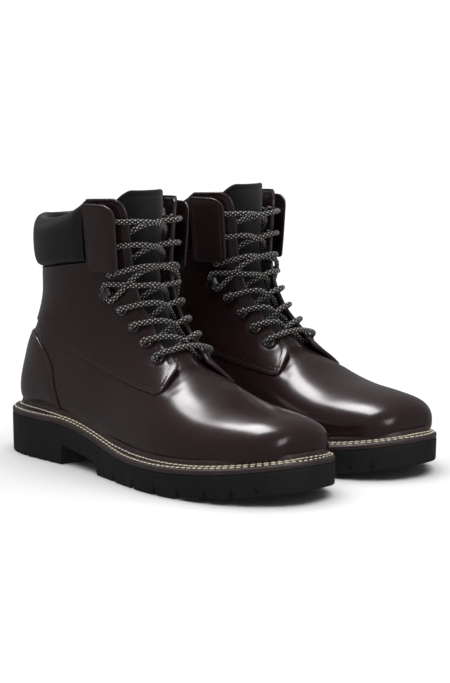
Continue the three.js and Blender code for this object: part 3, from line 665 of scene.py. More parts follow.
def tread_bottom(u, inset):
    """Height of the tread's underside: edge lugs with pointed notches, and a channel and cross bars."""
    low = underside(u)
    along = np.clip((u - HEEL_BLOCK_END) / (FORE_TREAD_START - HEEL_BLOCK_END), 0, 1)
    waist = smooth((u - HEEL_BLOCK_END) / 1.5) * smooth((FORE_TREAD_START + 0.5 - u) / 3)
    waist = waist * mix(WAIST_RISE_REAR, WAIST_RISE_FRONT, along)
    from_notch = nearest(u, LUG_NOTCHES)
    notch = np.clip(1 - from_notch / LUG_NOTCH_HALF, 0, 1) * LUG_NOTCH_HEIGHT
    notch = np.where(inset < LUG_NOTCH_DEPTH, notch, 0)
    heel_notch = np.clip(1.6 - nearest(u, HEEL_NOTCHES), 0, 1) * 2.4
    notch = np.where((u < HEEL_BLOCK_END - 6) & (inset < 9), heel_notch, notch)
    bar = np.minimum(from_notch, nearest(u, HEEL_NOTCHES))
    channel = np.maximum(smooth((CHANNEL_END - inset) / 1.2), smooth((2.2 - bar) / 1.0))
    groove = smooth((inset - LUG_NOTCH_DEPTH) / 1.2) * channel * CHANNEL_RISE
    return low + np.maximum(np.maximum(notch, groove), waist)


def make_outsole():
    base = np.arange(0, OUTLINE_LENGTH, 1.25)
    u_here = outline_point(base, 0)[:, 0]
    apexes = []
    heel_breast = [HEEL_BLOCK_END + d for d in (0, 0.75, 1.5)]
    fore_breast = [FORE_TREAD_START + d for d in (-2.5, -1, 0.5)]
    around = (-1.12, -1, -0.5, 0, 0.5, 1, 1.12)
    for u0 in (*LUG_NOTCHES, *heel_breast, *fore_breast):
        reach = LUG_NOTCH_HALF if u0 in LUG_NOTCHES else 0
        crossing = np.nonzero((u_here - u0) * (np.roll(u_here, -1) - u0) < 0)[0]
        for k in crossing:
            step = (u0 - u_here[k]) / (u_here[(k + 1) % len(base)] - u_here[k])
            centre = base[k] + step * 1.25
            slope = abs(u_here[(k + 1) % len(base)] - u_here[k]) / 1.25
            apexes += [centre + d * reach / max(slope, 0.3) for d in around]
    arcs = np.unique(np.round(np.concatenate([base, np.array(apexes) % OUTLINE_LENGTH]), 2))
    arcs = arcs[np.concatenate([[True], np.diff(arcs) > 0.25])]
    u_edge = outline_point(arcs, 0)[:, 0]
    rings = []
    for inset, drop in ((6.0, 0.0), (1.0, 0.0), (0.35, 0.25), (0.05, 0.9), (0, 2.2)):
        p = outline_point(arcs, inset)
        rings.append(np.column_stack([p, sole_top(p[:, 0]) - drop]))
    for share in (0.3, 0.55, 0.75, 0.9):
        p = outline_point(arcs, 0.35 * share)
        rings.append(np.column_stack([p, mix(sole_top(u_edge) - 2.2, tread_bottom(u_edge, 0) + 1.0, share)]))
    for inset, rise in ((0.4, 0.9), (0.8, 0.3), (1.4, 0.0)):
        p = outline_point(arcs, inset)
        rings.append(np.column_stack([p, tread_bottom(u_edge, inset) + rise]))
    for inset in (3, 5, 7, 9, 10.6, 11.0, 11.6, 12.2, 13.5, 14.8, 15.4, 16.0):
        p = outline_point(arcs, inset)
        rings.append(np.column_stack([p, tread_bottom(p[:, 0], inset)]))
    edge = outline_point(arcs, CHANNEL_END)
    spine = np.stack([np.clip(edge[:, 0], 34, 276), np.zeros(len(edge))], -1)
    for share in (0.15, 0.3, 0.45, 0.6, 0.75, 0.9, 0.985):
        p = mix(edge, spine, share)
        rings.append(np.column_stack([p, tread_bottom(p[:, 0], CHANNEL_END + 10 * share)]))
    rings = np.stack(rings, 0)
    return rings_body(rings)


def upper_contour(grid):
    """How far inside the sole's outline the upper stands at the top of the welt's rib, by arc length."""
    params, faces = grid
    p = skin(params[:, 0], params[:, 1])
    value = p[:, 2] - sole_top(p[:, 0]) - RIB_TOP
    lower_half = np.abs(params[:, 1]) > 1.2
    segments = []
    tri = faces[lower_half[faces].all(1)]
    high = value[tri] >= 0
    tri = tri[(high.sum(1) > 0) & (high.sum(1) < 3)]
    for a, b, c in tri:
        hits = []
        for i, j in ((a, b), (b, c), (c, a)):
            if (value[i] >= 0) != (value[j] >= 0):
                t = value[i] / (value[i] - value[j])
                hits.append(mix(p[i, :2], p[j, :2], t))
        segments.append(hits)
    segments = np.array(segments)
    arcs = np.linspace(0, OUTLINE_LENGTH, 360, endpoint=False)
    start = outline_point(arcs, 0)
    direction = outline_point(arcs, 1) - start
    inset = np.full(len(arcs), np.nan)
    q, e = segments[:, 0], segments[:, 1] - segments[:, 0]
    for k in range(len(arcs)):
        d = direction[k]
        cross = d[0] * e[:, 1] - d[1] * e[:, 0]
        w = q - start[k]
        with np.errstate(divide="ignore", invalid="ignore"):
            t = (w[:, 0] * e[:, 1] - w[:, 1] * e[:, 0]) / cross
            r = (w[:, 0] * d[1] - w[:, 1] * d[0]) / cross
        good = (r >= -0.01) & (r <= 1.01) & (t > 0) & (t < 30)
        if good.any():
            inset[k] = t[good].min()
    known = ~np.isnan(inset)
    inset = np.interp(arcs, arcs[known], inset[known], period=OUTLINE_LENGTH)
    kernel = np.ones(9) / 9
    inset = np.convolve(np.concatenate([inset[-4:], inset, inset[:4]]), kernel, "valid")
    return lambda arc: np.interp(np.mod(arc, OUTLINE_LENGTH), arcs, inset, period=OUTLINE_LENGTH)


GRID = skin_grid()
wall_inset = upper_contour(GRID)
LEDGE_EDGE, LEDGE_FOOT = 3.4, 6.0
OUTER_ROW, INNER_ROW_GAP = 2.0, 1.2
WELT_STITCH_PITCH = 4.7


def rib_inset(arc):
    """Inset of the rib's outer face."""
    return np.clip(wall_inset(arc) - RIB_THICKNESS + 0.4, 5.2, 14)


def inner_row_inset(arc):
    return rib_inset(arc) - INNER_ROW_GAP


def outer_row_inset(arc):
    return np.full(len(arc), OUTER_ROW)


def ledge_height(arc, inset):
    return mix(LEDGE_EDGE, LEDGE_FOOT, np.clip(inset / rib_inset(arc), 0, 1))


def make_welt():
    arcs = np.linspace(0, OUTLINE_LENGTH, 560, endpoint=False)
    rib = rib_inset(arcs)
    one = np.ones(len(arcs))
    inner_row, outer_row = inner_row_inset(arcs), outer_row_inset(arcs)
    middle = (inner_row + outer_row) / 2
    wave = 0.12 * np.sin(arcs * 2 * math.pi / WELT_STITCH_PITCH)
    # Each row gives inset, height and painted shade. The shade is dark from the outer stitch row to the
    # rib's foot, and on the rib's back against the upper.
    profile = [(0.7 * one, 0.03, 0), (0.2 * one, 0.25, 0), (0.02 * one, 0.9, 0), (0 * one, 1.8, 0),
               (0.03 * one, 2.5, 0), (0.25 * one, 3.05, 0), (0.7 * one, 3.45, 0), (outer_row - 0.6, 3.75, 0),
               (outer_row - 0.2, 3.7, 0.8), (outer_row + 0.5, 3.9, 1), (middle, 4.5, 1),
               (inner_row - 0.5, 5.0, 1), (inner_row + 0.3, 5.35, 0.9), (rib - 0.4, 5.7, 0.8),
               (rib - 0.1, 6.2, 0.3), (rib, 7.2, 0),
               (rib + 0.15, 8.3, 0), (rib + 0.6, 9.0, 0), (rib + 1.2, 9.25, 0), (rib + 1.8, 9.0, 0.3),
               (rib + 2.2, 8.2, 1), (rib + 2.3, 5.0, 1), (rib + 2.3, 0.03, 1)]
    rings, edge = [], []
    for k, (inset, height, dark) in enumerate(profile):
        p = outline_point(arcs, inset + (wave if 7 <= k <= 13 else 0))
        rings.append(np.column_stack([p, sole_top(p[:, 0]) + height]))
        # The welt's edge values are this painted shade.
        edge.append(np.full(len(arcs), dark, float))
    rings = np.stack(rings, 1)
    verts, faces = rings_body(rings, closed_path=True)
    return verts, faces, np.stack(edge, 1).ravel()


def capsules(centres, directions, normals, length, radius, flatten=0.8, sides=6):
    """Small rounded stitches in one mesh."""
    profile = [(-0.5, 0.25), (-0.44, 0.75), (-0.25, 1.0), (0.25, 1.0), (0.44, 0.75), (0.5, 0.25)]
    verts, faces = [], []
    side = np.cross(directions, normals)
    for centre, d, n, w in zip(centres, directions, normals, side):
        base = len(verts)
        for along, size in profile:
            for k in range(sides):
                a = 2 * math.pi * k / sides
                verts.append(centre + d * along * length + w * math.cos(a) * radius * size
                             + n * math.sin(a) * radius * size * flatten)
        for i in range(len(profile) - 1):
            for k in range(sides):
                a, b = base + i * sides + k, base + i * sides + (k + 1) % sides
                faces.append((a, b, b + sides, a + sides))
        faces.append(tuple(base + k for k in range(sides - 1, -1, -1)))
        last = base + (len(profile) - 1) * sides
        faces.append(tuple(last + k for k in range(sides)))
    return np.array(verts), faces


def make_welt_stitches(inset_of, length, radius, slant):
    count = int(round(OUTLINE_LENGTH / WELT_STITCH_PITCH))
    arcs = (np.arange(count) + 0.5) * OUTLINE_LENGTH / count
    inset = inset_of(arcs)
    height = ledge_height(arcs, inset) + 0.1
    points = []
    for shift in (-1.5, 0, 1.5):
        p = outline_point(arcs + shift, inset + slant * shift)
        points.append(np.column_stack([p, sole_top(p[:, 0]) + height]))
    directions = points[2] - points[0]
    directions /= np.linalg.norm(directions, axis=1)[:, None]
    outward = points[1] - np.column_stack([outline_point(arcs, inset + 1), points[1][:, 2]])
    normals = np.array([0, 0, 1.0]) + 0.25 * outward
    normals -= directions * (normals * directions).sum(1)[:, None]
    normals /= np.linalg.norm(normals, axis=1)[:, None]
    return capsules(points[1], directions, normals, length, radius)


# ---- lacing stations ----
class Station:
    def __init__(self, at, side):
        s, theta = locate([at], side)
        self.s, self.theta, self.side = float(s[0]), float(theta[0]), side
        self.point = skin(s, theta)[0]
        self.normal = skin_normal(s, theta)[0]
        inwards = skin(s, theta - side * 0.05)[0] - self.point
        inwards -= self.normal * (inwards @ self.normal)
        self.inwards = inwards / np.linalg.norm(inwards)
        self.along = np.cross(self.normal, self.inwards)

    def put(self, local):
        """Points given as (inwards, along, normal) to the boot frame."""
        local = np.asarray(local, float)
        return self.point + local @ np.stack([self.inwards, self.along, self.normal])


lower = {side: [Station(at, side) for at in LOWER_EYELETS] for side in SIDES}
hooks = {side: Station(HOOK_STATION, side) for side in SIDES}
upper = {side: [Station(at, side) for at in UPPER_EYELETS] for side in SIDES}

# ---- panel outlines ----
quarter_line = curve_through(QUARTER_SEAM)
counter_line = curve_through(COUNTER_SEAM)
facing_line = curve_through(FACING_EDGE)
tab_line = curve_through([QUARTER_SEAM[-1], *TAB_CORNER, FACING_EDGE[0]], 0.7)
collar_line = curve_through(COLLAR_LINE)
quarter_outline = np.vstack([quarter_line, tab_line[1:-1], facing_line, [[118, 190.5], [118, 146.5]],
                             collar_line[::-1][1:]])
counter_outline = np.vstack([counter_line, [[86, -30], [-12, -30]]])
vamp_front = np.vstack([quarter_line, tab_line[1:-1], facing_line[:8],
                        [[212, 90], [330, 90], [330, -40], [-12, -40]]])


def side_view(p):
    return p[:, [0, 2]]


def above_sole(p, height):
    return p[:, 2] - sole_top(p[:, 0]) - height


# Painted highlight: a lighter tone that fades with distance from a panel's rounded edge.
def painted_edge_highlight(distance, width=0.9, strength=0.8):
    return strength * np.exp(-(distance / width) ** 2)


def two_faces(values):
    return np.concatenate([values, np.zeros(len(values))])


def groove(distance, at, width, depth):
    return -depth * np.exp(-((distance - at) / width) ** 2)


PANEL_RAISE = 1.35
WALL_FOOT = 3.2


def make_vamp():
    def field(p):
        front = outline_distance(side_view(p), vamp_front)
        return np.minimum(front + 7, above_sole(p, WALL_FOOT))

    params, faces = GRID
    p = skin(params[:, 0], params[:, 1])
    in_throat = (np.abs(params[:, 1]) < 0.66) & (params[:, 0] > 0.42) & (params[:, 0] < 0.575)
    near = np.where(in_throat, np.maximum(field(p), 1.0), field(p))
    params, faces = cut(params, faces, near)
    p = skin(params[:, 0], params[:, 1])
    counter_side = outline_distance(side_view(p), counter_outline)
    under = -np.maximum(outline_distance(side_view(p), quarter_outline), counter_side)
    s, theta = params[:, 0], params[:, 1]
    dip = np.interp(s, [0.445, 0.47, 0.49, 0.515, 0.54, 0.58], [0, -1.0, -2.6, -4.8, -6.6, -7.6])
    dip = dip * smooth((0.9 - np.abs(theta)) / 0.25)
    outer = np.where(under < 0, -1.5 * smooth(-under / 1.5), 0) + np.minimum(dip, 0)
    outer = outer + groove(-counter_side, 0.5, 0.7, 0.25)
    verts, faces = shell(params, faces, outer, outer - 1.6)
    return verts, faces


def make_counter():
    def field(p):
        return np.minimum(outline_distance(side_view(p), counter_outline), above_sole(p, WALL_FOOT))

    params, faces, _ = patch(field, GRID)
    p = skin(params[:, 0], params[:, 1])
    d = outline_distance(side_view(p), counter_outline)
    top = mix(PANEL_RAISE, 0.7, smooth((d - 4) / 22))
    outer = top - rounded(d, 0.8) + groove(d, 2.7, 0.55, 0.3) + groove(d, 4.7, 0.55, 0.22)
    verts, faces = shell(params, faces, outer, np.full(len(d), -1.2))
    # The edge values are a painted highlight along the counter's edge.
    return verts, faces, two_faces(painted_edge_highlight(d, 0.7, 0.55))


def make_quarter(side):
    stations = lower[side] + upper[side]

    def holes(p):
        reach = np.full(len(p), 99.0)
        for place in stations:
            reach = np.minimum(reach, np.linalg.norm(p - place.point, axis=1) - 2.9)
        return reach

    def field(p):
        panel = np.minimum(outline_distance(side_view(p), quarter_outline), side * p[:, 1] + 0.02)
        return np.minimum(panel, holes(p))

    params, faces, _ = patch(field, GRID)
    p = skin(params[:, 0], params[:, 1])
    d = outline_distance(side_view(p), quarter_outline)
    low_line = np.vstack([quarter_line, [[330, 62], [330, -60], [-60, -60], [-60, 106]]])
    from_seam = -outline_distance(side_view(p), low_line)
    lift = mix(PANEL_RAISE, 0.35, smooth((from_seam - 5) / 18))
    front = smooth((14 - d) / 14) * smooth((p[:, 0] - 120) / 30)
    outer = np.maximum(lift, 0.35 + 0.25 * front) - rounded(d, 0.85)
    outer = outer + groove(d, 2.6, 0.5, 0.26) + groove(from_seam, 4.6, 0.5, 0.2)
    for place in lower[side] + [hooks[side]]:
        far = np.linalg.norm(p - place.point, axis=1)
        outer = outer - 0.45 * np.exp(-(far / 5.2) ** 2) + 0.18 * np.exp(-((far - 8) / 2.4) ** 2)
    seam = np.abs(p[:, 1])
    outer = outer - np.where(p[:, 0] < 60, 0.5 * np.exp(-(seam / 0.9) ** 2), 0)
    verts, faces = shell(params, faces, outer, np.minimum(outer - 1.3, -0.1) - 0.3)
    # The edge values are a painted highlight along the quarter's edge.
    return verts, faces, two_faces(painted_edge_highlight(d, 0.75, 0.6))


def line_on_skin(points, side, offset, step):
    """A line given in side view, laid on the skin with even steps: points, tangents and normals."""
    s, theta = locate(points, side)
    dense = offset_skin(s, theta, offset)
    rows = np.column_stack([dense, s, theta])
    arc = np.concatenate([[0], np.cumsum(np.linalg.norm(np.diff(dense, axis=0), axis=1))])
    count = max(2, int(arc[-1] / step))
    at = (np.arange(count) + 0.5) * arc[-1] / count
    rows = np.stack([np.interp(at, arc, rows[:, k]) for k in range(5)], -1)
    centre = rows[:, :3]
    tangent = np.gradient(centre, axis=0)
    tangent /= np.linalg.norm(tangent, axis=1)[:, None]
    return centre, tangent, skin_normal(rows[:, 3], rows[:, 4])


def moved_line(points, distance):
    """A side-view line moved to its left by a distance."""
    tangent = np.gradient(points, axis=0)
    tangent /= np.linalg.norm(tangent, axis=1)[:, None]
    return points + np.stack([-tangent[:, 1], tangent[:, 0]], -1) * distance


def join_meshes(parts):
    verts, faces, start = [], [], 0
    for part_verts, part_faces in parts:
        verts.append(part_verts)
        faces += [tuple(int(i) + start for i in f) for f in part_faces]
        start += len(part_verts)
    return np.vstack(verts), faces


def seam_stitches(line, side, height):
    return capsules(*line_on_skin(line, side, height, 2.7), 2.1, 0.33)


def make_quarter_stitches(side):
    seam = quarter_line[quarter_line[:, 0] > 14]
    facing = facing_line[2:-6]
    rows = ((seam, 2.6, 1.05), (seam, 4.6, 1.0), (facing, 2.6, 0.42))
    return join_meshes([seam_stitches(moved_line(line, gap), side, height) for line, gap, height in rows])


def make_counter_stitches():
    seam = counter_line[(counter_line[:, 0] > 16) & (counter_line[:, 1] > 38)]
    rows = [moved_line(seam, -distance) for distance in (2.7, 4.7)]
    return join_meshes([seam_stitches(line, side, 1.12) for side in SIDES for line in rows])


def make_lining():
    def field(p):
        line = [*SHAFT_TOP[1:], [118, 240], [-60, 240], [-60, 177]]
        top = -outline_distance(side_view(p), np.array(line)) - 2.4
        throat = -outline_distance(side_view(p), np.array(LINING_THROAT, float))
        return np.minimum(np.minimum(top, throat), above_sole(p, 5))

    params, faces, d = patch(field, GRID, (0.5, 1.2))
    p = skin(params[:, 0], params[:, 1])
    puff = 0.35 * ripple(p[:, 2] / 9, p[:, 0] / 11 + p[:, 1] / 14, 5)
    return shell(params, faces, np.full(len(p), -2.0), -5.6 + rounded(d, 1.2) + puff * smooth(d / 6))


def make_tongue():
    outline = np.array(TONGUE_OUTLINE, float)

    def field(p):
        corner = 13 - np.hypot(np.maximum(np.abs(p[:, 1]) - 17.5, 0), np.maximum(p[:, 2] - 183.4, 0))
        return np.minimum(outline_distance(side_view(p), outline), corner)

    params, faces, d = patch(field, GRID)
    p = skin(params[:, 0], params[:, 1])
    pad = 0.7 * smooth(d / 10) + 0.3 * ripple(p[:, 2] / 14, p[:, 1] / 10, 9) * smooth(d / 12)
    outer = -9.6 + pad - rounded(d, 1.1) + groove(d, 3.4, 0.6, 0.45)
    inner = -12.3 + rounded(d, 0.9) - 0.3 * smooth(d / 8)
    # The edge values are a painted highlight; the tongue's textile does not use them.
    return *shell(params, faces, outer, inner), two_faces(painted_edge_highlight(d, 0.8, 0.3))


FLAP_CORNERS = [(119.2, 141.0, 2.5), (142.6, 141.0, 2.5), (143.0, 188.0, 7.8), (117.4, 188.0, 2.5)]
FLAP_REAR, FLAP_FRONT = 118.0, 143.0


def round_cornered(corners, steps=7):
    """A closed outline with each corner (u, z, radius) rounded."""
    outline = []
    places = np.array([corner[:2] for corner in corners], float)
    for k, (_, _, radius) in enumerate(corners):
        here, before, after = places[k], places[k - 1], places[(k + 1) % len(corners)]
        back = (before - here) / np.linalg.norm(before - here)
        on = (after - here) / np.linalg.norm(after - here)
        centre = here + (back + on) * radius
        for angle in np.linspace(0, math.pi / 2, steps):
            outline.append(centre - on * radius * math.cos(angle) - back * radius * math.sin(angle))
    return np.array(outline)


def flap_outline():
    outline = round_cornered(FLAP_CORNERS)
    return even_line(np.vstack([outline, outline[:1]]), 0.8)[:-1]


def flap_offset(u):
    share = np.clip((u - FLAP_REAR) / (FLAP_FRONT - FLAP_REAR), 0, 1)
    return mix(2.3, 8.2, share ** 1.3)


def make_flap(side):
    us, zs = np.arange(115.5, 145.6, 0.75), np.arange(139, 190.1, 0.8)
    uu, zz = np.meshgrid(us, zs, indexing="ij")
    s, theta = locate(np.column_stack([uu.ravel(), zz.ravel()]), side)
    width = len(zs)
    i, j = np.meshgrid(np.arange(len(us) - 1), np.arange(width - 1), indexing="ij")
    a = (i * width + j).ravel()
    b, c, d = a + width, a + width + 1, a + 1
    faces = np.vstack([np.stack([a, b, c], -1), np.stack([a, c, d], -1)])
    outline = flap_outline()

    def field(p):
        return outline_distance(side_view(p), outline)

    params, faces, d = patch(field, (np.column_stack([s, theta]), faces))
    p = skin(params[:, 0], params[:, 1])
    base = flap_offset(p[:, 0])
    crown = 0.5 * smooth(d / 7)
    dent = np.where((p[:, 0] > 123) & (p[:, 0] < 138), groove(p[:, 2], 148.8, 0.5, 0.3), 0)
    outer = base + 1.9 + crown - rounded(d, 1.0) + groove(d, 1.9, 0.4, 0.4) + dent
    # The edge values are a painted highlight along the flap's edge.
    return *shell(params, faces, outer, base + rounded(d, 0.7)), two_faces(painted_edge_highlight(d, 0.7, 0.55))


def make_flap_stitches(side):
    parts = []
    outline = flap_outline()
    inner = moved_line(outline, 1.9)
    keep = (inner[:, 1] > 144) & (inner[:, 0] > 121)
    first = np.argmax(keep & ~np.roll(keep, 1))
    inner, keep = np.roll(inner, -first, axis=0), np.roll(keep, -first)
    run = inner[: np.argmin(keep)] if not keep.all() else inner
    bar = np.column_stack([np.linspace(123.5, 137.5, 12), np.full(12, 148.8)])
    for line in (run, bar):
        parts.append(capsules(*line_on_skin(line, side, flap_offset(line[:, 0]) + 1.78, 2.4), 1.8, 0.28))
    return join_meshes(parts)


def height_table(theta):
    s = np.linspace(0.62, 1, 400)
    return s, np.stack([skin(s, np.full(s.shape, t))[:, 2] for t in theta])


def make_collar():
    start = locate([[116.4, 160]], 1)[1][0]
    count = 190
    theta = np.linspace(start, 2 * math.pi - start, count)
    s_rows, z_rows = height_table(theta)
    profile = np.array([
        [0.05, -1.9], [0.005, -1.2], [0.0, 0.2], [0.012, 1.8], [0.05, 3.5], [0.12, 4.8], [0.22, 5.6],
        [0.36, 6.1], [0.52, 6.2], [0.68, 5.9], [0.80, 5.1], [0.89, 3.9], [0.955, 2.2], [0.99, 0.2],
        [1.0, -1.9], [0.992, -3.8], [0.965, -5.5], [0.91, -6.9], [0.82, -7.6], [0.72, -7.4], [0.64, -6.4],
        [0.60, -5.0], [0.58, -2.4]])
    dense = spline_rows(np.vstack([profile, profile[:1]]), np.linspace(0, len(profile), 66)[:-1])
    z_mid = np.array([np.interp(160, z_rows[k], s_rows) for k in range(count)])
    u_mid = skin(z_mid, theta)[:, 0]
    low = np.interp(u_mid, collar_line[:, 0], collar_line[:, 1]) + 0.6
    top_line = curve_through(SHAFT_TOP)
    high = np.interp(u_mid, top_line[:, 0], top_line[:, 1])
    rings = []
    for k in range(count):
        share, offset = dense[:, 0], dense[:, 1].copy()
        z = mix(low[k], high[k], share)
        bulging = offset > 0
        arc = k / count * 60
        pucker = 0.28 * math.sin(arc * 5.3 + 1.3 * math.sin(arc)) * np.exp(-share / 0.12)
        swell = 0.35 * ripple(np.full(len(share), arc / 6), share * 4, 21)
        offset = offset + np.where(bulging, pucker + swell * np.clip(offset / 5, 0, 1), 0)
        end = smooth(min(k, count - 1 - k) / 7)
        offset = np.where(offset > 0, offset * mix(0.62, 1, end), offset)
        s = np.interp(z, z_rows[k], s_rows)
        rings.append(offset_skin(s, np.full(len(s), theta[k]), offset))
    return rings_body(rings)


# ---- eyelets, hooks and the lace ----
def lathe(place, profile, sides=36):
    a = np.linspace(0, 2 * math.pi, sides, endpoint=False)
    circle = np.stack([np.cos(a), np.sin(a), np.zeros(sides)], -1)
    rings = [place.put(radius * circle + [0, 0, height]) for radius, height in profile]
    return rings_body(np.stack(rings), closed_path=True)


EYELET_PROFILE = [(3.0, -2.2), (3.0, 0.5), (3.9, 0.45), (4.2, 0.55), (4.25, 0.8), (4.0, 1.12),
                  (3.5, 1.34), (3.05, 1.3),
                  (2.75, 1.05), (2.6, 0.5), (2.55, -1.2), (2.7, -2.2)]


def make_eyelet(place, lift=0.0):
    return lathe(place, [(radius, height + lift) for radius, height in EYELET_PROFILE])


def make_upper_eyelets(side):
    parts = [make_eyelet(place, -0.15) for place in upper[side]]
    return join_meshes(parts)


HOOK_HALF_WIDTH, HOOK_HALF_PLATE = 2.75, 0.42
HOOK_SECTION = ((-1, -0.5), (-0.93, -1), (0.93, -1), (1, -0.5), (1, 0.5), (0.93, 1), (-0.93, 1), (-1, 0.5))


def make_hook(place):
    """A round seat with a rivet head, and a plate that leaves it and curls back over the lace."""
    seat = lathe(place, [(0.4, 0.2), (4.3, 0.2), (4.5, 0.45), (4.4, 0.8), (4.0, 1.0), (2.6, 1.1),
                         (1.2, 1.5), (0.4, 1.6)])
    centre = np.array([[-4.9, 0.9], [-2.0, 0.95], [1.6, 1.0], [4.1, 1.5], [5.2, 3.2], [5.0, 5.4],
                       [3.4, 6.8], [0.6, 7.1],
                       [-1.8, 6.8], [-2.6, 6.2]])
    line = even_line(curve_through(centre, 0.3), 0.45)
    tangent = np.gradient(line, axis=0)
    tangent /= np.linalg.norm(tangent, axis=1)[:, None]
    normal = np.stack([-tangent[:, 1], tangent[:, 0]], -1)
    rings = []
    for k, (x, h) in enumerate(line):
        share = k / (len(line) - 1)
        tip = np.clip((share - 0.82) / 0.2, 0, 1)
        half = HOOK_HALF_WIDTH * np.sqrt(np.clip(1 - tip ** 2, 0.05, 1)) * mix(1, 0.92, share)
        section = []
        for w, t in HOOK_SECTION:
            off = normal[k] * t * HOOK_HALF_PLATE
            section.append([x + off[0], w * half, h + off[1]])
        rings.append(place.put(section))
    return join_meshes([seat, rings_body(np.stack(rings))])


EYELET_DEPTH, UPPER_DEPTH = 2.4, 3.7


def lace_points():
    """The lace's path: up both sides, through each hole, round the hooks, with its ends tucked inside."""
    stations = {side: [*lower[side], hooks[side], *upper[side]] for side in SIDES}

    def through(place, depth):
        return [place.put([0.3, 0, 3.9]), place.put([0.3, 0, -depth - 2.4])]

    def round_hook(place):
        turns = ((6, -5.4), (1, -4.9), (-0.2, 0), (1, 4.9), (6, 5.4))
        return [place.put([shift, rise * place.side, 3.6]) for shift, rise in turns]

    def strand(a, b, front, starts_outside):
        shares = (0.28, 0.5, 0.71)
        offsets = (3 if starts_outside else -5.7, 0.2 if front else -3.9, 3.4)
        return [offset_skin(np.array([mix(a.s, b.s, t)]), np.array([mix(a.theta, b.theta, t)]), [o])[0]
                for t, o in zip(shares, offsets)]

    def run(side):
        points = []
        for k in range(8):
            place = stations[side][k]
            points += round_hook(place) if k == 4 else through(place, UPPER_DEPTH if k > 4 else EYELET_DEPTH)
            if k < 7:
                points += strand(place, stations[-side][k + 1], side < 0, k == 4)
            side = -side
        return points

    def tail(side):
        points = ((127.5, 26, 180.5), (123, 26.6, 184), (120, 27, 177), (119.5, 27, 163), (119, 27, 149))
        return [np.array((u, side * v, z)) for u, v, z in points]

    first = lower[1][0]
    shares = np.array([-0.55, 0, 0.55])
    bar = [*offset_skin(np.full(3, first.s), shares * first.theta, [3, 3, 3])]
    return [*[*run(-1), *tail(1)][::-1], *bar, *[*run(1), *tail(-1)]]


LACE_RADIUS = 1.75
DOT_PITCH = 3.6
DOTS_ROUND = 2


def make_lace():
    path = np.array(lace_points())
    path = even_line(curve_through(path, 0.5), 0.7)
    kernel = np.array([1, 2, 3, 2, 1]) / 9
    padded = np.vstack([path[:1]] * 2 + [path] + [path[-1:]] * 2)
    path = np.stack([np.convolve(padded[:, k], kernel, "valid") for k in range(3)], -1)
    tangent = np.gradient(path, axis=0)
    tangent /= np.linalg.norm(tangent, axis=1)[:, None]
    arc = np.concatenate([[0], np.cumsum(np.linalg.norm(np.diff(path, axis=0), axis=1))])
    sides = 18
    a = np.linspace(0, 2 * math.pi, sides + 1)
    around = a * DOTS_ROUND
    normal = np.array([0, 0, 1.0])
    rings, uv = [], []
    for k in range(len(path)):
        normal = normal - tangent[k] * (normal @ tangent[k])
        normal /= np.linalg.norm(normal)
        binormal = np.cross(tangent[k], normal)
        along = np.full(sides + 1, arc[k] * math.pi / DOT_PITCH)
        relief = 1 + 0.035 * np.abs(np.sin(along + around) * np.sin(along - around))
        end = min(1.0, 0.45 + 0.55 * min(arc[k], arc[-1] - arc[k]) / 1.5)
        circle = np.outer(np.cos(a), normal) + np.outer(np.sin(a), binormal)
        rings.append(path[k] + circle * (LACE_RADIUS * end * relief)[:, None])
        uv.append(np.stack([along, around], -1))
    rings, uv = np.stack(rings), np.stack(uv)
    count, n = rings.shape[:2]
    i, j = np.meshgrid(np.arange(count - 1), np.arange(n - 1), indexing="ij")
    a = (i * n + j).ravel()
    faces = [tuple(f) for f in np.stack([a, a + 1, a + n + 1, a + n], -1)]
    faces.append(tuple(range(n - 2, -1, -1)))
    faces.append(tuple((count - 1) * n + k for k in range(n - 1)))
    return rings.reshape(-1, 3), faces, uv.reshape(-1, 2), arc[-1]


# ---- building both boots ----
both_boots("outsole", make_outsole(), RUBBER, crease=38)
both_boots("welt", make_welt(), WELT_LEATHER)
for row, inset_of, length, radius, slant in (("inner", inner_row_inset, 3.7, 0.56, 0.05),
                                             ("outer", outer_row_inset, 3.3, 0.52, 0.16)):
    stitches = make_welt_stitches(inset_of, length, radius, slant)
    both_boots(f"welt_stitches_{row}", stitches, CREAM_THREAD, own=False)

both_boots("vamp", make_vamp(), OXBLOOD)
both_boots("counter_panel", make_counter(), OXBLOOD)
both_boots("counter_stitches", make_counter_stitches(), DARK_THREAD, own=False)
both_boots("lining", make_lining(), LINING_NAP)
for piece in both_boots("collar", make_collar(), COLLAR_LEATHER):
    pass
both_boots("tongue", make_tongue(), TONGUE_TEXTILE, body="tongue")

for side, word in ((1, "lateral"), (-1, "medial")):
    both_boots(f"quarter_{word}", make_quarter(side), OXBLOOD)
    stitches = make_quarter_stitches(side)
    both_boots(f"quarter_stitches_{word}", stitches, DARK_THREAD, own=False)
    flap = f"flap_{word}"
    both_boots(flap, make_flap(side), FLAP_LEATHER, body=flap)
    stitches = make_flap_stitches(side)
    both_boots(f"flap_stitches_{word}", stitches, DARK_THREAD, body=flap, own=False)
    for number, place in enumerate(lower[side], 1):
        both_boots(f"eyelet_{word}_{number}", make_eyelet(place), GUNMETAL)
    both_boots(f"upper_eyelets_{word}", make_upper_eyelets(side), GUNMETAL)
    both_boots(f"hook_{word}", make_hook(hooks[side]), GUNMETAL)

lace_verts, lace_faces, lace_uv, lace_length = make_lace()
both_boots("lace", (lace_verts, lace_faces), LACE_BRAID, uv=lace_uv)
print("lace length in mm, one boot:", round(float(lace_length), 1))

HIDDEN_LOOKS = {"bottom_filler": CORK, "shank": STEEL, "insole_board": BOARD, "footbed": FOOTBED_FELT,
                "heel_stiffener": BOARD, "toe_puff": BOARD}
for side_name, _ in BOOTS:
    for base, material in HIDDEN_LOOKS.items():
        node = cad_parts[f"{base}_{side_name}"]
        node.data.materials.clear()
        node.data.materials.append(material)


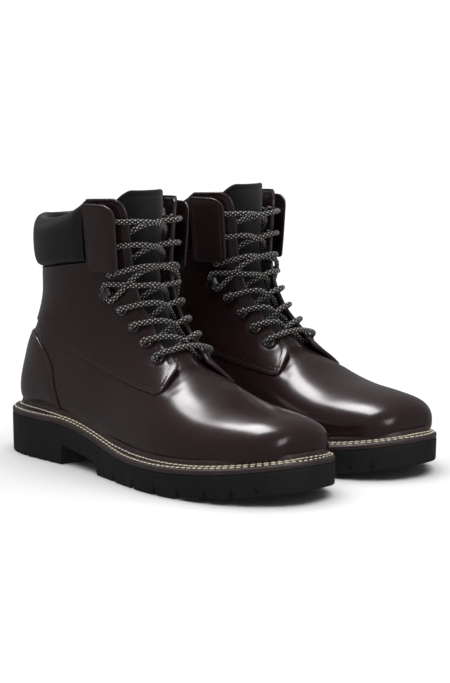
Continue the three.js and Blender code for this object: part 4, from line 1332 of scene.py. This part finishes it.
# ---- floor, light and camera ----
def floor_material():
    look = Look("studio_floor", 0.6, specular=0.2)
    look.colour(look.ramp(look.noise(3, 2), (0.3, (0.86, 0.86, 0.86)), (0.7, (0.88, 0.88, 0.88))))
    return look.material


FLOOR_RADIUS = 0.9
FLOOR_SIDES = 96
floor_angles = np.linspace(0, 2 * math.pi, FLOOR_SIDES, endpoint=False)
floor_ring = FLOOR_RADIUS * np.stack([np.cos(floor_angles), np.sin(floor_angles), np.zeros(FLOOR_SIDES)], -1)
floor = make_object("studio_floor", floor_ring, [tuple(range(FLOOR_SIDES))], floor_material())
floor.visible_glossy = False


def area_light(name, location, target, size, power):
    data = bpy.data.lights.new(name, "AREA")
    data.shape = "RECTANGLE"
    data.size, data.size_y = size
    data.energy = power
    light = bpy.data.objects.new(name, data)
    light.location = location
    light.rotation_euler = (Vector(target) - Vector(location)).to_track_quat("-Z", "Y").to_euler()
    light.visible_diffuse = False
    bpy.context.scene.collection.objects.link(light)


area_light("top_softbox", (0.1, 0.35, 1.6), (0, 0.05, 0.05), (0.6, 1.1), 34)
area_light("rear_softbox", (-0.3, 1.8, 0.75), (0, 0, 0.1), (0.35, 0.9), 0.45)
area_light("front_softbox", (0.05, -1.9, 0.8), (0, 0, 0.1), (0.7, 0.9), 9)

sky_light = bpy.data.lights.new("overhead_sky", "SUN")
sky_light.energy = 3.35
sky_light.angle = math.radians(85)
sky = bpy.data.objects.new("overhead_sky", sky_light)
sky.visible_glossy = False
bpy.context.scene.collection.objects.link(sky)

world = bpy.data.worlds.new("studio")
world.use_nodes = True
world_nodes, world_links = world.node_tree.nodes, world.node_tree.links
dim = world_nodes["Background"]
dim.inputs["Color"].default_value = (1, 1, 1, 1)
dim.inputs["Strength"].default_value = 0.20
white = world_nodes.new("ShaderNodeBackground")
white.inputs["Color"].default_value = (1, 1, 1, 1)
white.inputs["Strength"].default_value = 1.1
path = world_nodes.new("ShaderNodeLightPath")
choice = world_nodes.new("ShaderNodeMixShader")
world_links.new(path.outputs["Is Camera Ray"], choice.inputs[0])
world_links.new(dim.outputs[0], choice.inputs[1])
world_links.new(white.outputs[0], choice.inputs[2])
world_links.new(choice.outputs[0], world_nodes["World Output"].inputs["Surface"])
bpy.context.scene.world = world
bpy.context.scene.view_settings.view_transform = "Standard"

camera_data = bpy.data.cameras.new("camera")
camera_data.lens = 108.7
camera_data.sensor_width = 36
camera = bpy.data.objects.new("camera", camera_data)
camera.location = (-0.997, -1.0785, 0.2771)
camera.rotation_euler = (math.radians(82.59), 0, math.radians(-43.115))
bpy.context.scene.collection.objects.link(camera)
bpy.context.scene.camera = camera
